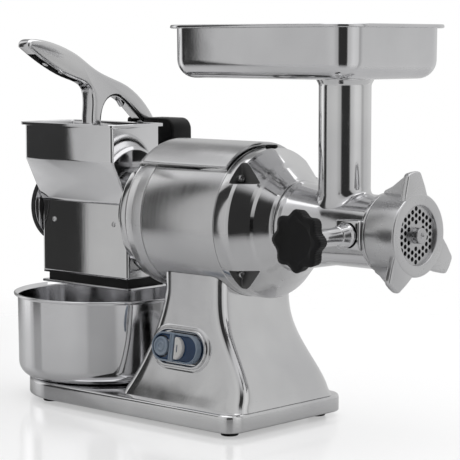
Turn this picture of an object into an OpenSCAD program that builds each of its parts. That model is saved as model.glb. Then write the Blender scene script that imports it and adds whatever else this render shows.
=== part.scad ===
// Electric meat grinder with a cheese grater on the other end of its motor.
// X runs along the motor shaft towards the mincer outlet, -Y is the switch side, +Z is up.

/* [Base and column] */
// Length of the base to the left of the column's centre
base_left = 297.5; // [280:1:340]
// Length of the base to the right of the column's centre
base_right = 92; // [92:1:120]
// Width of the base, front to back
base_w = 196; // [180:1:240]
// Height of the base casting
base_h = 20.4; // [16:0.2:30]
// Height of the rubber feet under the base
foot_h = 6; // [4:0.5:12]
// Radius of a rubber foot
foot_r = 11; // [8:0.5:16]
// Height of the motor axis above the worktop
axis_h = 228; // [205:1:275]
// Half depth of the column where it meets the motor
column_top_half = 61.5; // [52:0.5:64]
// How far the column's front and back flare out at its foot
column_flare_y = 16.5; // [8:0.5:20]
// Column's left side at the top, left of its centre
column_top_left = 49.5; // [44:0.5:56]
// How far the column's left side flares out at its foot
column_flare_left = 47.5; // [20:0.5:50]
// Column's right side at the top, right of its centre
column_top_right = 42.5; // [36:0.5:48]
// How far the column's right side flares out at its foot
column_flare_right = 46; // [20:1:46]
// Bore of the cable gland at the back of the column
cable_bore = 9; // [6:0.5:10]
// Wall of the castings
cast_wall = 5; // [4:0.5:7]

/* [Motor] */
// Outer radius of the motor barrel
barrel_r = 84; // [76:1:101]
// Length of the motor barrel between its end castings
barrel_len = 111.5; // [100:0.5:135]
// Wall of the motor barrel's steel tube
barrel_wall = 2; // [1.5:0.5:3]
// Height of the vent cowl above the barrel
cowl_rise = 6; // [4:0.5:10]
// Half angle that the vent cowl covers round the barrel
cowl_half_angle = 44; // [30:1:60]
// Radius of the motor shaft
shaft_r = 7; // [6:0.5:8]
// Air gap between rotor and stator
air_gap = 0.6; // [0.4:0.1:1.2]

/* [Reduction gear] */
// Module of all four gears
gear_module = 1.25; // [1.2:0.05:1.3]
// Teeth on each pinion
pinion_teeth = 14; // [13:1:16]
// Teeth on each wheel
wheel_teeth = 43; // [40:1:45]
// Play between mating teeth
backlash = 0.3; // [0.2:0.05:0.5]

/* [Grater] */
// Radius of the grating drum
drum_r = 32; // [28:0.5:38]
// Length of the drum housing along the shaft
housing_len = 149.9; // [125:0.1:180]
// Wall of the sheet steel housing, hopper and chute
sheet = 1.5; // [1:0.25:2]
// Gap between the drum and the housing's sides
drum_gap = 2.5; // [2:0.25:5]
// Depth of the hopper's mouth, front to back
mouth_w = 76.6; // [70:0.1:92]
// Height of the hopper's upright upper walls
mouth_h = 44; // [36:1:52]
// Width of the hopper's turned-out lip
hopper_lip = 6; // [4:0.5:8]
// Depth of the housing below the motor axis
chute_drop = 78; // [70:1:90]
// Gap between the top of the bowl and the safety grille
bowl_gap = 7.5; // [5:0.5:20]

/* [Bowl] */
// Outer diameter of the bowl's wall
bowl_d = 210; // [175:1:230]
// Width of the bowl's rolled rim
bowl_lip = 5.5; // [3:0.5:8]
// Thickness of the bowl and tray steel
pan_sheet = 1.2; // [1:0.1:2]

/* [Mincer] */
// Diameter of the hole plate
plate_d = 70; // [68:0.5:84]
// Thickness of the hole plate
plate_t = 9; // [7:0.5:12]
// Diameter of the holes in the plate
plate_hole_d = 5; // [3:0.5:5.5]
// Bore of the feed tube
feed_bore = 52.4; // [46:0.1:56]
// Wall of the mincer casting
mincer_wall = 4.4; // [3.5:0.1:5.3]
// Distance from the gear housing's nose to the feed tube's centre
feed_reach = 62.5; // [55:0.5:75]
// Height of the top of the feed tube above the motor axis
feed_rise = 162; // [135:1:192]
// Radius of the wings on the ring nut
wing_r = 67; // [58:1:80]

/* [Tray] */
// Length of the tray inside its lip
tray_l = 252; // [210:1:302]
// Width of the tray inside its lip
tray_w = 170; // [142:1:204]
// Depth of the tray
tray_h = 57; // [48:1:68]
// Width of the tray's turned-out lip
tray_lip = 9; // [6:0.5:12]
// Radius of the tray's upright corners
tray_corner = 27; // [15:1:35]

/* [Clamp knob] */
// Radius over the star knob's lobes
knob_r = 33; // [28:1:36]
// Thickness of the star knob
knob_t = 17; // [12:1:20]
// Distance of the knob's inner face from the motor axis
knob_reach = 114; // [108:1:120]

/* [Switch] */
// Length of the switch's pill-shaped bezel
switch_l = 84; // [80:1:100]
// Height of the switch's pill-shaped bezel
switch_h = 46; // [42:0.5:50]
// Travel of each push button
button_travel = 3; // [2:0.5:4]

/* [Hidden] */
$fn = 64;

// clearances
run_fit = 0.08;
free_gap = 0.4;
seat_gap = 0.3;
eps = 0.01;

// heights
base_z0 = foot_h;
base_z1 = foot_h + base_h;
foot_line = base_z1 + 7;
cover_lift = 0.2;
cover_t = 1.5;
foot_screw_r = 2.9;
screw_head_z = 2;
foot_screw_l = base_h - cast_wall - 2;
cover_top = base_z0 + cover_lift + cover_t;
half_w = base_w / 2;
column_top = axis_h - sqrt(pow(barrel_r, 2) - pow(column_top_half, 2));
column_foot_half = column_top_half + column_flare_y;
foot_spread = 3;
flare_top = column_top - 21;
base_corner = 21;

// cable gland
gland_x = 10;
gland_z = base_z1 + 33.6;
gland_r = 8;
gland_y = column_half(gland_z) - cast_wall - 4;

// stations along the shaft
barrel_x0 = 52 - barrel_len;
barrel_x1 = 52;
cap_x0 = barrel_x0 - 32.5;
flange_x0 = cap_x0 - 14;
neck_x0 = flange_x0 - 25.5;
housing_x1 = neck_x0;
housing_x0 = housing_x1 - housing_len;
bell_shoulder_x = barrel_x1 + 19;
bell_face_x = barrel_x1 + 38;
nose_x = barrel_x1 + 53;
nose_r = barrel_r - 32;
bell_face_r = barrel_r - 18;

// reduction gear
pinion_r = gear_module * pinion_teeth / 2;
wheel_r = gear_module * wheel_teeth / 2;
lay_offset = pinion_r + wheel_r;
stage1_x = barrel_x1 + 7;
stage2_x = barrel_x1 + 20;
stage1_t = 10;
stage2_t = 12;
lay_r = 5;
lay_bearing_r = 10;
lay_x1 = bell_face_x - 0.4;
gearbox_r = barrel_r - 20;
pinion_seat_r = 5;
output_r = 12;
tie_r = barrel_r - 10;
tie_screw_r = 2.4;
tie_x0 = cap_x0 + 20;
pocket_side = 47.5;
pocket_x = bell_shoulder_x - 9;

// motor
stator_r = barrel_r - barrel_wall;
stator_len = 66;
stator_x0 = barrel_x0 + 18;
rotor_r = 38;
bearing_r = 17;
bearing_t = 11;

// grater
housing_half = drum_r + drum_gap + sheet;
housing_z0 = axis_h - chute_drop;
housing_top = axis_h + 10;
drum_len = housing_len - 11;
drum_x0 = housing_x0 + 5.5;
mouth_y1 = 16.2;
mouth_y0 = mouth_y1 - mouth_w;
taper_top = axis_h + 61;
rim_z = taper_top + mouth_h;
collar_h = 11;
grille_t = 3;
grille_z0 = housing_z0 - collar_h - grille_t;
cover_r = drum_r + 13;
cover_bore_r = drum_r + 1.5;
neck_r = 51;
screw_hole_r = 1.5;

// lever, about its hinge
hinge_y = mouth_y1 + 50;
hinge_z = axis_h + 94;
lever_x = (housing_x0 + housing_x1) / 2 + 3;
arm_t = 21;
hinge_pin_r = 4;
pin_l = arm_t + 12;
rise = hinge_z - 322;
back = hinge_y - 66.2;

// bowl
bowl_r = bowl_d / 2;
bowl_side_gap = 6.5;
bowl_z1 = grille_z0 - bowl_gap;
bowl_x = -column_top_left - column_flare_left - bowl_r - bowl_side_gap;
bowl_corner = 17;

// mincer
plate_r = plate_d / 2;
chamber_r = plate_r + 0.1;
mincer_r = chamber_r + mincer_wall;
feed_x = nose_x + feed_reach;
feed_r = feed_bore / 2;
tube_r = feed_r + 2;
mincer_x1 = feed_x + tube_r + 66;
flange_x1 = mincer_x1 - 34;
nut_x0 = flange_x1 + 1.5;
nut_r = mincer_r + 4.6;
plate_x1 = mincer_x1 + 2;
plate_x0 = plate_x1 - plate_t;
knife_t = 6.5;
knife_x0 = plate_x0 - knife_t - seat_gap;
nut_x1 = plate_x1 + seat_gap + 4;
stud_r = 8.5;
tube_top = axis_h + feed_rise;
auger_r = chamber_r - 0.8;
auger_x0 = nose_x + 22;

// tray
tray_z0 = tube_top + seat_gap;
tray_z1 = tray_z0 + tray_h;
tray_x0 = feed_x - 0.722 * tray_l;
tray_bottom_r = 18;

// clamp knob
boss_size = 32;
knob_x = flange_x1 - 2 - boss_size / 2;
boss_y = mincer_r + 8;
screw_r = 6;

// switch seat, tilted with the column's flared front
switch_x = -15;
switch_z = 86 + base_z1 - 26.4;
switch_tilt = 8;
seat_y = column_half(switch_z) + 2;
start_r = 11;
stop_r = 13.5;
block_rise = 9;
pocket_floor = -10;
button_z0 = pocket_floor + button_travel + 0.5;

// The whole model is moved so that its box stands centred on the origin.
x_min = min(bowl_x - bowl_r - bowl_lip, -base_left);
x_max = nut_x1 + 4;
y_min = min(-knob_reach - knob_t, -131.8 + back);
x_shift = -(x_min + x_max) / 2;
y_max = max(half_w, bowl_r + bowl_lip);
y_shift = -(y_min + y_max) / 2;

// ---- helpers ----

module placed() {
  translate([x_shift, y_shift, 0]) children();
}

// A cylinder along X from x0 to x1 about the motor axis
module xcyl(r, x0, x1) {
  translate([x0, 0, axis_h]) rotate([0, 90, 0]) cylinder(r = r, h = x1 - x0);
}

// A tube along X
module xtube(ro, ri, x0, x1) {
  difference() {
    xcyl(ro, x0, x1);
    xcyl(ri, x0 - 1, x1 + 1);
  }
}

// A body of revolution about the motor axis from [x, radius] points
module xturn(points) {
  translate([0, 0, axis_h]) rotate([90, 0, 90]) rotate_extrude() polygon([for (p = points) [p[1], p[0]]]);
}

// A block from its lowest to its highest corner
module block(a, b) {
  translate(a) cube(b - a);
}

// Outline in the YZ plane, extruded along X from x0 to x1
module yz_extrude(x0, x1) {
  translate([x0, 0, 0]) rotate([90, 0, 90]) linear_extrude(x1 - x0) children();
}

// Outline in the XZ plane, extruded along Y from y0 to y1
module xz_extrude(y0, y1) {
  translate([0, y1, 0]) rotate([90, 0, 0]) linear_extrude(y1 - y0) children();
}

// Rectangle with rounded corners, from its lowest to its highest corner
module rounded_rect(a, b, r) {
  for (x = [a[0] + r, b[0] - r])
    for (y = [a[1] + r, b[1] - r])
      translate([x, y]) circle(r);
  translate([a[0] + r, a[1]]) square([b[0] - a[0] - 2 * r, b[1] - a[1]]);
  translate([a[0], a[1] + r]) square([b[0] - a[0], b[1] - a[1] - 2 * r]);
}

// Pill outline centred on the origin
module pill(l, h) {
  for (s = [-1, 1]) translate([s * (l - h) / 2, 0]) circle(d = h);
  square([l - h, h], center = true);
}

// Points of a cubic curve, without its last point
function curve(a, b, c, d, n = 8) = [
  for (i = [0 : n - 1]) let (t = i / n, u = 1 - t)
    u * u * u * a + 3 * u * u * t * b + 3 * u * t * t * c + t * t * t * d
];

// How far down the column's flare a height is: 0 above the flare, 1 at the foot
function flare(z) = max(0, min(1, (flare_top - z) / (flare_top - foot_line)));
function eased(t) = t * t * (3 - 2 * t);
function column_half(z) = column_top_half + column_flare_y * pow(flare(z), 3);
function column_left_at(z) = column_top_left + column_flare_left * pow(flare(z), 1.3);
function column_right_at(z) = column_top_right + column_flare_right * pow(eased(flare(z)), 1.5);

// Outline of a spur gear with one tooth centred on the X axis
function involute(rb, t) = [rb * (cos(t) + t * PI / 180 * sin(t)), rb * (sin(t) - t * PI / 180 * cos(t))];
function turned(p, a) = [p[0] * cos(a) - p[1] * sin(a), p[0] * sin(a) + p[1] * cos(a)];
function gear_outline(teeth) =
  let (
    rp = gear_module * teeth / 2,
    rb = rp * cos(20),
    ra = rp + gear_module * 0.92,
    rf = rp - gear_module * 1.2,
    inv_a = tan(20) * 180 / PI - 20,
    half = 90 / teeth - backlash / 4 / rp * 180 / PI + inv_a,
    t_end = sqrt(pow(ra / rb, 2) - 1) * 180 / PI,
    root = half + 0.25
  )
  [for (i = [0 : teeth - 1]) each concat(
    [turned([rf, 0], i * 360 / teeth - root)],
    [for (k = [0 : 3]) turned(involute(rb, t_end * k / 3), i * 360 / teeth - half)],
    [for (k = [3 : -1 : 0]) let (p = involute(rb, t_end * k / 3)) turned([p[0], -p[1]],
        i * 360 / teeth + half)],
    [turned([rf, 0], i * 360 / teeth + root)]
  )];

module gear(teeth, x0, t, bore_r) {
  translate([x0, 0, 0]) rotate([90, 0, 90]) linear_extrude(t) difference() {
    polygon(gear_outline(teeth));
    circle(bore_r);
  }
}

// ---- base, column and electrics ----

module base_outline(inset) {
  r = half_w - inset;
  translate([-base_left + half_w, 0]) circle(r, $fn = 96);
  rounded_rect([-base_left + half_w - base_corner, -r], [base_right - inset, r], base_corner - inset);
  translate([-base_left + half_w, -r]) square([20, 2 * r]);
}

module column_solid(inset) {
  steps = [0 : 14];
  z_top = column_top + 30;
  function level(i) = foot_line + (z_top - foot_line) * i / 14;
  intersection() {
    xz_extrude(-half_w, half_w) polygon(concat(
      [[-column_left_at(foot_line) - foot_spread + inset, base_z1 - eps - inset]],
      [for (i = steps) [-column_left_at(level(i)) + inset, level(i)]],
      [for (i = steps) [column_right_at(level(14 - i)) - inset, level(14 - i)]],
      [[column_right_at(foot_line) + foot_spread - inset, base_z1 - eps - inset]]
    ));
    yz_extrude(-base_left, base_right + 50) polygon(concat(
      [[-column_foot_half - foot_spread + inset, base_z1 - eps - inset]],
      [for (i = steps) [-column_half(level(i)) + inset, level(i)]],
      [for (i = steps) [column_half(level(14 - i)) - inset, level(14 - i)]],
      [[column_foot_half + foot_spread - inset, base_z1 - eps - inset]]
    ));
  }
}

module switch_place() {
  translate([switch_x, -seat_y, switch_z]) rotate([90 - switch_tilt, 0, 0]) children();
}

module base_column() {
  color("silver") placed() difference() {
    union() {
      translate([0, 0, base_z0]) linear_extrude(base_h) base_outline(0);
      column_solid(0);
      switch_place() translate([0, 0, -16]) linear_extrude(16) pill(switch_l + 6, switch_h + 6);
    }
    difference() {
      translate([0, 0, base_z0 - eps]) linear_extrude(base_h - cast_wall) base_outline(cast_wall);
      for (p = foot_places) translate([p[0], p[1], base_z0 + cover_lift + cover_t]) cylinder(r = 6,
          h = base_h);
    }
    for (p = foot_places) translate([p[0], p[1], base_z0]) cylinder(r = foot_screw_r, h = foot_screw_l);
    intersection() {
      column_solid(cast_wall);
      block([-column_top_left - 60, -half_w, base_z1 - cast_wall - 1], [base_right, half_w,
          column_top - 8]);
    }
    // saddle for the motor and clearance under the gear housing
    xcyl(barrel_r, barrel_x0, barrel_x1);
    xcyl(barrel_r + seat_gap, barrel_x1 - eps, nose_x);
    xcyl(barrel_r + seat_gap, cap_x0 - 8, barrel_x0 + eps);
    // switch opening and cable gland hole
    switch_place() translate([0, 0, -30]) linear_extrude(60) pill(switch_l - 12, switch_h - 12);
    translate([gland_x, gland_y - 10, gland_z]) rotate([-90, 0, 0]) cylinder(r = gland_r, h = 40);
  }
}

module base_cover() {
  color("gray") placed() translate([0, 0, base_z0 + cover_lift]) linear_extrude(cover_t) difference() {
    base_outline(cast_wall + seat_gap);
    for (p = foot_places) translate(p) circle(foot_screw_r);
  }
}

foot_places = [[-224, -62], [-224, 62], [68, -74], [68, 74]];

// Each screw goes up through a foot and the cover into a boss of the base.
module cover_screws() {
  color("dimgray") placed() for (p = foot_places) translate([p[0], p[1], screw_head_z])
    cylinder(r = foot_screw_r, h = base_z0 + foot_screw_l - screw_head_z);
}

module rubber_feet() {
  color("black") placed() for (p = foot_places) translate([p[0], p[1], 0]) difference() {
    cylinder(r1 = foot_r - 1.5, r2 = foot_r, h = foot_h + cover_lift);
    translate([0, 0, screw_head_z]) cylinder(r = foot_screw_r, h = foot_h);
    translate([0, 0, -1]) cylinder(r = foot_screw_r + 2, h = screw_head_z + 1);
  }
}

module control_board() {
  color("darkgreen") placed() {
    y = -column_top_half + 12;
    block([-40, y, cover_top], [10, y + 2, base_z1 + 40]);
    for (x = [-34, -20, -6]) block([x, y + 2, base_z1 + 8], [x + 9, y + 16, base_z1 + 26]);
    block([-40, y + 2, cover_top], [10, y + 22, cover_top + 5]);
  }
}

module run_capacitor() {
  color("gainsboro") placed() {
    translate([-36, 34, base_z1 + 22]) rotate([0, 90, 0]) cylinder(r = 18, h = 70);
    block([-30, 20, cover_top], [28, 48, base_z1 + 10]);
  }
}

module cable_gland() {
  color("black") placed() translate([gland_x, gland_y, gland_z]) rotate([-90, 0, 0]) difference() {
    union() {
      cylinder(r = gland_r, h = cast_wall + 12);
      translate([0, 0, cast_wall + 9]) cylinder(r = gland_r + 4, h = 6, $fn = 6);
      translate([0, 0, cast_wall + 14]) cylinder(r1 = gland_r + 2, r2 = gland_r, h = 8);
    }
    translate([0, 0, -1]) cylinder(r = cable_bore / 2, h = cast_wall + 30);
  }
}

module switch_bezel() {
  color("lightsteelblue") placed() switch_place() difference() {
    union() {
      linear_extrude(3) pill(switch_l, switch_h);
      translate([0, 0, -14]) linear_extrude(14) pill(switch_l - 12, switch_h - 12);
    }
    translate([0, 0, -15]) linear_extrude(40) pill(switch_l - 15, switch_h - 15);
  }
}

// Outlines of the two buttons and, grown by a gap, of the pockets that they slide in
module start_outline(grow) {
  translate([-switch_l / 2 + 22, 0]) circle(start_r + grow);
}

module stop_outline(grow) {
  intersection() {
    translate([2, 0]) circle(stop_r + grow);
    translate([4 - grow, -switch_h]) square(2 * switch_h);
  }
}

// Raised block that holds both buttons, with a divider bar between them
module switch_block() {
  color("steelblue") placed() switch_place() difference() {
    union() {
      translate([0, 0, -14]) linear_extrude(14 + block_rise) pill(switch_l - 15, switch_h - 15);
      translate([0, 0, block_rise]) linear_extrude(3) square([4, switch_h - 17], center = true);
    }
    translate([0, 0, pocket_floor]) linear_extrude(50) start_outline(free_gap);
    translate([0, 0, pocket_floor]) linear_extrude(50) stop_outline(free_gap);
  }
}

module start_button() {
  color("slategray") placed() switch_place()
    translate([0, 0, button_z0]) linear_extrude(block_rise + 3 - button_z0) start_outline(0);
}

module stop_button() {
  color("white") placed() switch_place()
    translate([0, 0, button_z0]) linear_extrude(block_rise + 5 - button_z0) stop_outline(0);
}

// ---- motor ----

module barrel_tube() {
  color("silver") placed() xtube(barrel_r, barrel_r - barrel_wall, barrel_x0, barrel_x1);
}

// Raised cover over the barrel's top that lets the cooling air out at its front edge
module vent_cowl() {
  far = barrel_r * 1.6;
  reach = far * tan(cowl_half_angle);
  color("silver") placed() intersection() {
    union() {
      xtube(barrel_r + cowl_rise, barrel_r + cowl_rise - 2, cap_x0 + 6, barrel_x1 - 0.5);
      xtube(barrel_r + cowl_rise - 1, barrel_r, cap_x0 + 6, cap_x0 + 10);
      xtube(barrel_r + cowl_rise - 1, barrel_r, barrel_x1 - 3.5, barrel_x1 - 0.5);
    }
    yz_extrude(cap_x0, barrel_x1) translate([0, axis_h]) polygon([[0, 0], [-reach, far], [reach, far]]);
  }
}

// Stands at the start of one of the four long screws, facing along it
module tie_place(a) {
  translate([cap_x0 + 12, 0, axis_h]) rotate([a, 0, 0]) translate([0, 0, tie_r]) rotate([0, 90,
      0]) children();
}

module grater_end_cap() {
  color("silver") placed() difference() {
    union() {
      for (a = [45 : 90 : 315]) tie_place(a) cylinder(r = 6, h = barrel_x0 - cap_x0 - 12);
      xturn([[cap_x0, shaft_r + 3], [cap_x0, barrel_r - 10], [cap_x0 + 3, barrel_r - 5],
      [cap_x0 + 9, barrel_r - 1.5], [cap_x0 + 18, barrel_r], [barrel_x0, barrel_r], [barrel_x0,
          barrel_r - 8],
      [cap_x0 + 14, barrel_r - 10], [cap_x0 + 7, barrel_r - 16], [cap_x0 + 7, bearing_r + 6],
      [cap_x0 + 7 + bearing_t, bearing_r + 6], [cap_x0 + 7 + bearing_t, bearing_r],
      [cap_x0 + 7, bearing_r], [cap_x0 + 7, shaft_r + 3]]);
    }
    for (a = [45 : 90 : 315]) tie_place(a) translate([0, 0,
        tie_x0 - cap_x0 - 12]) cylinder(r = tie_screw_r, h = 60);
  }
}

module stator() {
  color("sienna") placed() {
    difference() {
      xcyl(stator_r, stator_x0, stator_x0 + stator_len);
      xcyl(rotor_r + air_gap, stator_x0 - 1, stator_x0 + stator_len + 1);
      for (a = [45 : 90 : 315]) tie_place(a) cylinder(r = 4, h = barrel_x1 - cap_x0);
    }
    for (x = [stator_x0 - 12, stator_x0 + stator_len - eps]) xtube(stator_r - 16, rotor_r + 4, x,
        x + 12 + eps);
  }
}

module rotor_core() {
  color("gray") placed() xtube(rotor_r, shaft_r, stator_x0, stator_x0 + stator_len);
}

module motor_shaft() {
  color("lightgray") placed() {
    xcyl(shaft_r, drum_x0 + 3, stage1_x - 1);
    xcyl(pinion_seat_r, stage1_x - 1 - eps, stage1_x + stage1_t);
  }
}

module cooling_fan() {
  x0 = barrel_x0 - 10;
  fan_r = min(54, barrel_r - 24);
  color("black") placed() {
    xtube(fan_r, shaft_r, x0, x0 + 2);
    xtube(shaft_r + 5, shaft_r, x0, x0 + 10);
    for (i = [0 : 8]) translate([0, 0, axis_h]) rotate([i * 40, 0, 0])
      block([x0 + 2 - eps, -1, shaft_r + 6], [x0 + 10, 1, fan_r - 1]);
  }
}

module motor_bearings() {
  color("gainsboro") placed() {
    xtube(bearing_r, shaft_r + run_fit, cap_x0 + 7, cap_x0 + 7 + bearing_t);
    xtube(bearing_r, shaft_r + run_fit, barrel_x1 - bearing_t, barrel_x1);
  }
}

// Four long socket screws that pull the two end castings on to the barrel
module tie_screws() {
  color("dimgray") placed() for (a = [45 : 90 : 315]) tie_place(a) translate([0, 0, -cap_x0 - 12]) {
    translate([0, 0, tie_x0]) cylinder(r = tie_screw_r, h = pocket_x - tie_x0);
    translate([0, 0, pocket_x]) difference() {
      cylinder(r = 4.2, h = 5);
      translate([0, 0, 2.5]) cylinder(r = 2.2, h = 4, $fn = 6);
    }
  }
}

// ---- reduction gear ----

module gear_plate() {
  color("gray") placed() difference() {
    union() {
      xturn([[barrel_x1 - bearing_t - 2, shaft_r + 3], [barrel_x1 - bearing_t - 2, bearing_r + 6],
        [barrel_x1, bearing_r + 6], [barrel_x1, barrel_r - 4.5], [barrel_x1 + 4, barrel_r - 4.5],
        [barrel_x1 + 4, shaft_r + 1], [barrel_x1, shaft_r + 1], [barrel_x1, bearing_r],
        [barrel_x1 - bearing_t, bearing_r], [barrel_x1 - bearing_t, shaft_r + 3]]);
    }
    translate([barrel_x1 - 1, 0, axis_h - lay_offset]) rotate([0, 90, 0]) cylinder(r = 8, h = 6);
    for (a = [45 : 90 : 315]) tie_place(a) cylinder(r = tie_screw_r + 0.2, h = 3 * barrel_len);
  }
}

// Square-cornered pocket in the gear housing's shoulder, one for each tie screw
module pocket(sy, sz) {
  y = sy > 0 ? pocket_side : -pocket_side - 60;
  z = axis_h + (sz > 0 ? pocket_side : -pocket_side - 60);
  translate([pocket_x, y, z]) cube([40, 60, 60]);
}

module gear_housing() {
  color("silver") placed() difference() {
    union() {
      xturn([[barrel_x1, barrel_r - 4], [barrel_x1, barrel_r], [bell_shoulder_x, barrel_r],
      [bell_shoulder_x + 3, barrel_r - 1.5], [bell_face_x - 2, bell_face_r + 2], [bell_face_x, bell_face_r],
      [bell_face_x + 2, bell_face_r - 2.5], [nose_x - 3, nose_r + 3], [nose_x, nose_r],
      [nose_x + 4, nose_r - 2], [nose_x + 4, bearing_r + 11], [nose_x - 4, bearing_r + 11],
          [nose_x - 4, bearing_r],
      [nose_x - 15, bearing_r], [nose_x - 15, nose_r - 10], [bell_face_x - 3, bell_face_r - 18],
      [bell_shoulder_x - 2, gearbox_r], [barrel_x1, gearbox_r]]);
      translate([0, 0, -lay_offset]) xcyl(lay_bearing_r + 4, bell_face_x - 5, bell_face_x + 2);
    }
    xcyl(barrel_r - 4.4, barrel_x1 - 1, barrel_x1 + 4);
    for (sy = [-1, 1]) for (sz = [-1, 1]) pocket(sy, sz);
    for (a = [45 : 90 : 315]) tie_place(a) cylinder(r = tie_screw_r + 0.2, h = 3 * barrel_len);
    translate([0, 0, -lay_offset]) xcyl(lay_bearing_r, bell_face_x - 6, bell_face_x);
    translate([bell_shoulder_x - 8, 0, axis_h + barrel_r - 30]) cylinder(r = 5, h = 40);
  }
}

module breather_plug() {
  color("black") placed() translate([bell_shoulder_x - 8, 0, axis_h + barrel_r - 16]) {
    cylinder(r = 5, h = 17);
    translate([0, 0, 16]) cylinder(r = 7, h = 3);
  }
}

module motor_pinion() {
  color("darkgray") placed() translate([0, 0, axis_h]) rotate([-90, 0, 0])
    gear(pinion_teeth, stage1_x, stage1_t, pinion_seat_r);
}

module intermediate_wheel() {
  color("darkgray") placed() translate([0, 0, axis_h - lay_offset])
    rotate([90 + 180 / wheel_teeth, 0, 0]) gear(wheel_teeth, stage1_x, stage1_t, lay_r);
}

module layshaft_pinion() {
  color("darkgray") placed() translate([0, 0, axis_h - lay_offset]) {
    rotate([90, 0, 0]) gear(pinion_teeth, stage2_x, stage2_t, lay_r - eps);
    translate([barrel_x1 + 0.6, 0, 0]) rotate([0, 90, 0]) cylinder(r = lay_r, h = lay_x1 - barrel_x1 - 0.6);
  }
}

// The output wheel and its socketed shaft, which drives the auger's square tang
module output_wheel() {
  color("darkgray") placed() {
    translate([0, 0, axis_h]) rotate([-90 + 180 / wheel_teeth, 0, 0]) gear(wheel_teeth, stage2_x,
        stage2_t, output_r - 1);
    difference() {
      xcyl(output_r, stage2_x, nose_x + 8);
      translate([nose_x - 8, -6.1, axis_h - 6.1]) cube([20, 12.2, 12.2]);
    }
  }
}

module gear_bearings() {
  color("gainsboro") placed() {
    xtube(bearing_r, output_r + run_fit, nose_x - 15, nose_x - 4);
    translate([0, 0, -lay_offset]) xtube(8, lay_r + run_fit, barrel_x1 + 0.2, barrel_x1 + 4);
    translate([0, 0, -lay_offset]) xtube(lay_bearing_r, lay_r + run_fit, bell_face_x - 5, bell_face_x);
  }
}

// ---- grater ----

// Casting between the motor and the grater: a flange ring and a hollow neck
module grater_neck() {
  color("silver") placed() difference() {
    union() {
      xturn([[flange_x0, shaft_r + 1], [flange_x0, barrel_r - 11], [flange_x0 + 4, barrel_r - 7.5],
        [cap_x0, barrel_r - 7.5], [cap_x0, shaft_r + 1]]);
      xcyl(neck_r, neck_x0, flange_x0 + 1);
    }
    xcyl(neck_r - cast_wall, neck_x0 + cast_wall, cap_x0 + 1);
    xcyl(shaft_r + 1, neck_x0 - 1, cap_x0 + 1);
  }
}

module housing_outline() {
  translate([-housing_half, housing_z0]) square([2 * housing_half, housing_top - housing_z0]);
}

module drum_housing() {
  color("silver") placed() difference() {
    yz_extrude(housing_x0, housing_x1) housing_outline();
    yz_extrude(housing_x0 + sheet, housing_x1 - sheet)
      translate([-housing_half + sheet, housing_z0 - 1]) square([2 * (housing_half - sheet),
          chute_drop + 40]);
    xcyl(cover_bore_r, housing_x0 - 1, housing_x0 + 5);
    xcyl(shaft_r + 1, housing_x1 - 5, housing_x1 + 1);
    screw_places() cylinder(r = screw_hole_r, h = 8, center = true);
  }
}

// Outline of the hopper in the YZ plane, drawn in by a wall
module hopper_outline(w) {
  z0 = housing_top - (w > 0 ? 1 : 0);
  z1 = rim_z + (w > 0 ? 1 : 0);
  arc_r = housing_half - w;
  polygon(concat(
    [[mouth_y1 - w, z1], [mouth_y0 + w, z1], [mouth_y0 + w, taper_top], [-housing_half + w,
        housing_top + 3],
      [-housing_half + w, z0], [housing_half - w, z0], [housing_half - w, housing_top + 3]],
    [[mouth_y1 - w, axis_h + sqrt(pow(arc_r, 2) - pow(mouth_y1, 2)) + 4]]
  ));
}

module hopper() {
  color("silver") placed() difference() {
    union() {
      yz_extrude(housing_x0, housing_x1) hopper_outline(0);
      translate([0, 0, rim_z - 2]) linear_extrude(2)
        rounded_rect([housing_x0 - hopper_lip, mouth_y0 - hopper_lip], [housing_x1 + hopper_lip,
            mouth_y1 + hopper_lip], 4);
    }
    yz_extrude(housing_x0 + sheet, housing_x1 - sheet) hopper_outline(sheet);
    xcyl(cover_bore_r, housing_x0 - 1, housing_x0 + 5);
  }
}

module outlet_collar() {
  inset = 6;
  color("black") placed() translate([0, 0, housing_z0 - collar_h]) linear_extrude(collar_h) difference() {
    translate([housing_x0 + inset, -housing_half + inset])
      square([housing_len - 2 * inset, 2 * (housing_half - inset)]);
    translate([housing_x0 + inset + 2, -housing_half + inset + 2])
      square([housing_len - 2 * inset - 4, 2 * (housing_half - inset) - 4]);
    }
  color("black") placed() for (y = [-housing_half + 1, housing_half - 8])
    block([housing_x0 + 2, y, housing_z0 - 2], [housing_x1 - 2, y + 7, housing_z0]);
}

module safety_grille() {
  bars = 7;
  color("silver") placed() translate([0, 0, grille_z0]) {
    linear_extrude(grille_t) difference() {
      translate([housing_x0, -housing_half]) square([housing_len, 2 * housing_half]);
      translate([housing_x0 + 3, -housing_half + 8]) square([housing_len - 6, 2 * housing_half - 16]);
    }
    for (i = [1 : bars]) translate([housing_x0 + 2,
        -housing_half + 8 + (2 * housing_half - 16) * i / (bars + 1), grille_t / 2])
      rotate([0, 90, 0]) cylinder(r = 1.3, h = housing_len - 4, $fn = 24);
  }
}

// Perforated sheet drum on two end discs, with its teeth as rows of raised studs
module grating_drum() {
  x1 = drum_x0 + drum_len;
  color("lightgray") placed() {
    difference() {
      xtube(drum_r, drum_r - 1.5, drum_x0, x1);
      for (i = [0 : 8]) for (a = [0 : 5]) translate([0, 0, axis_h]) rotate([a * 60 + (i % 2) * 30, 0, 0])
        translate([drum_x0 + 10 + i * (drum_len - 20) / 8, 0, drum_r - 4]) cylinder(r = 2.2, h = 8,
            $fn = 24);
    }
    xtube(drum_r - 1.5 + eps, shaft_r, drum_x0, drum_x0 + 3);
    xtube(drum_r - 1.5 + eps, shaft_r, x1 - 3, x1);
    xcyl(shaft_r, drum_x0, drum_x0 + 3);
  }
}

module drum_cover() {
  color("silver") placed() {
    xcyl(cover_r, housing_x0 - 8, housing_x0 - 2.5);
    xtube(cover_bore_r - run_fit, cover_bore_r - 4, housing_x0 - 2.5 - eps, housing_x0 + 3);
  }
}

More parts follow.
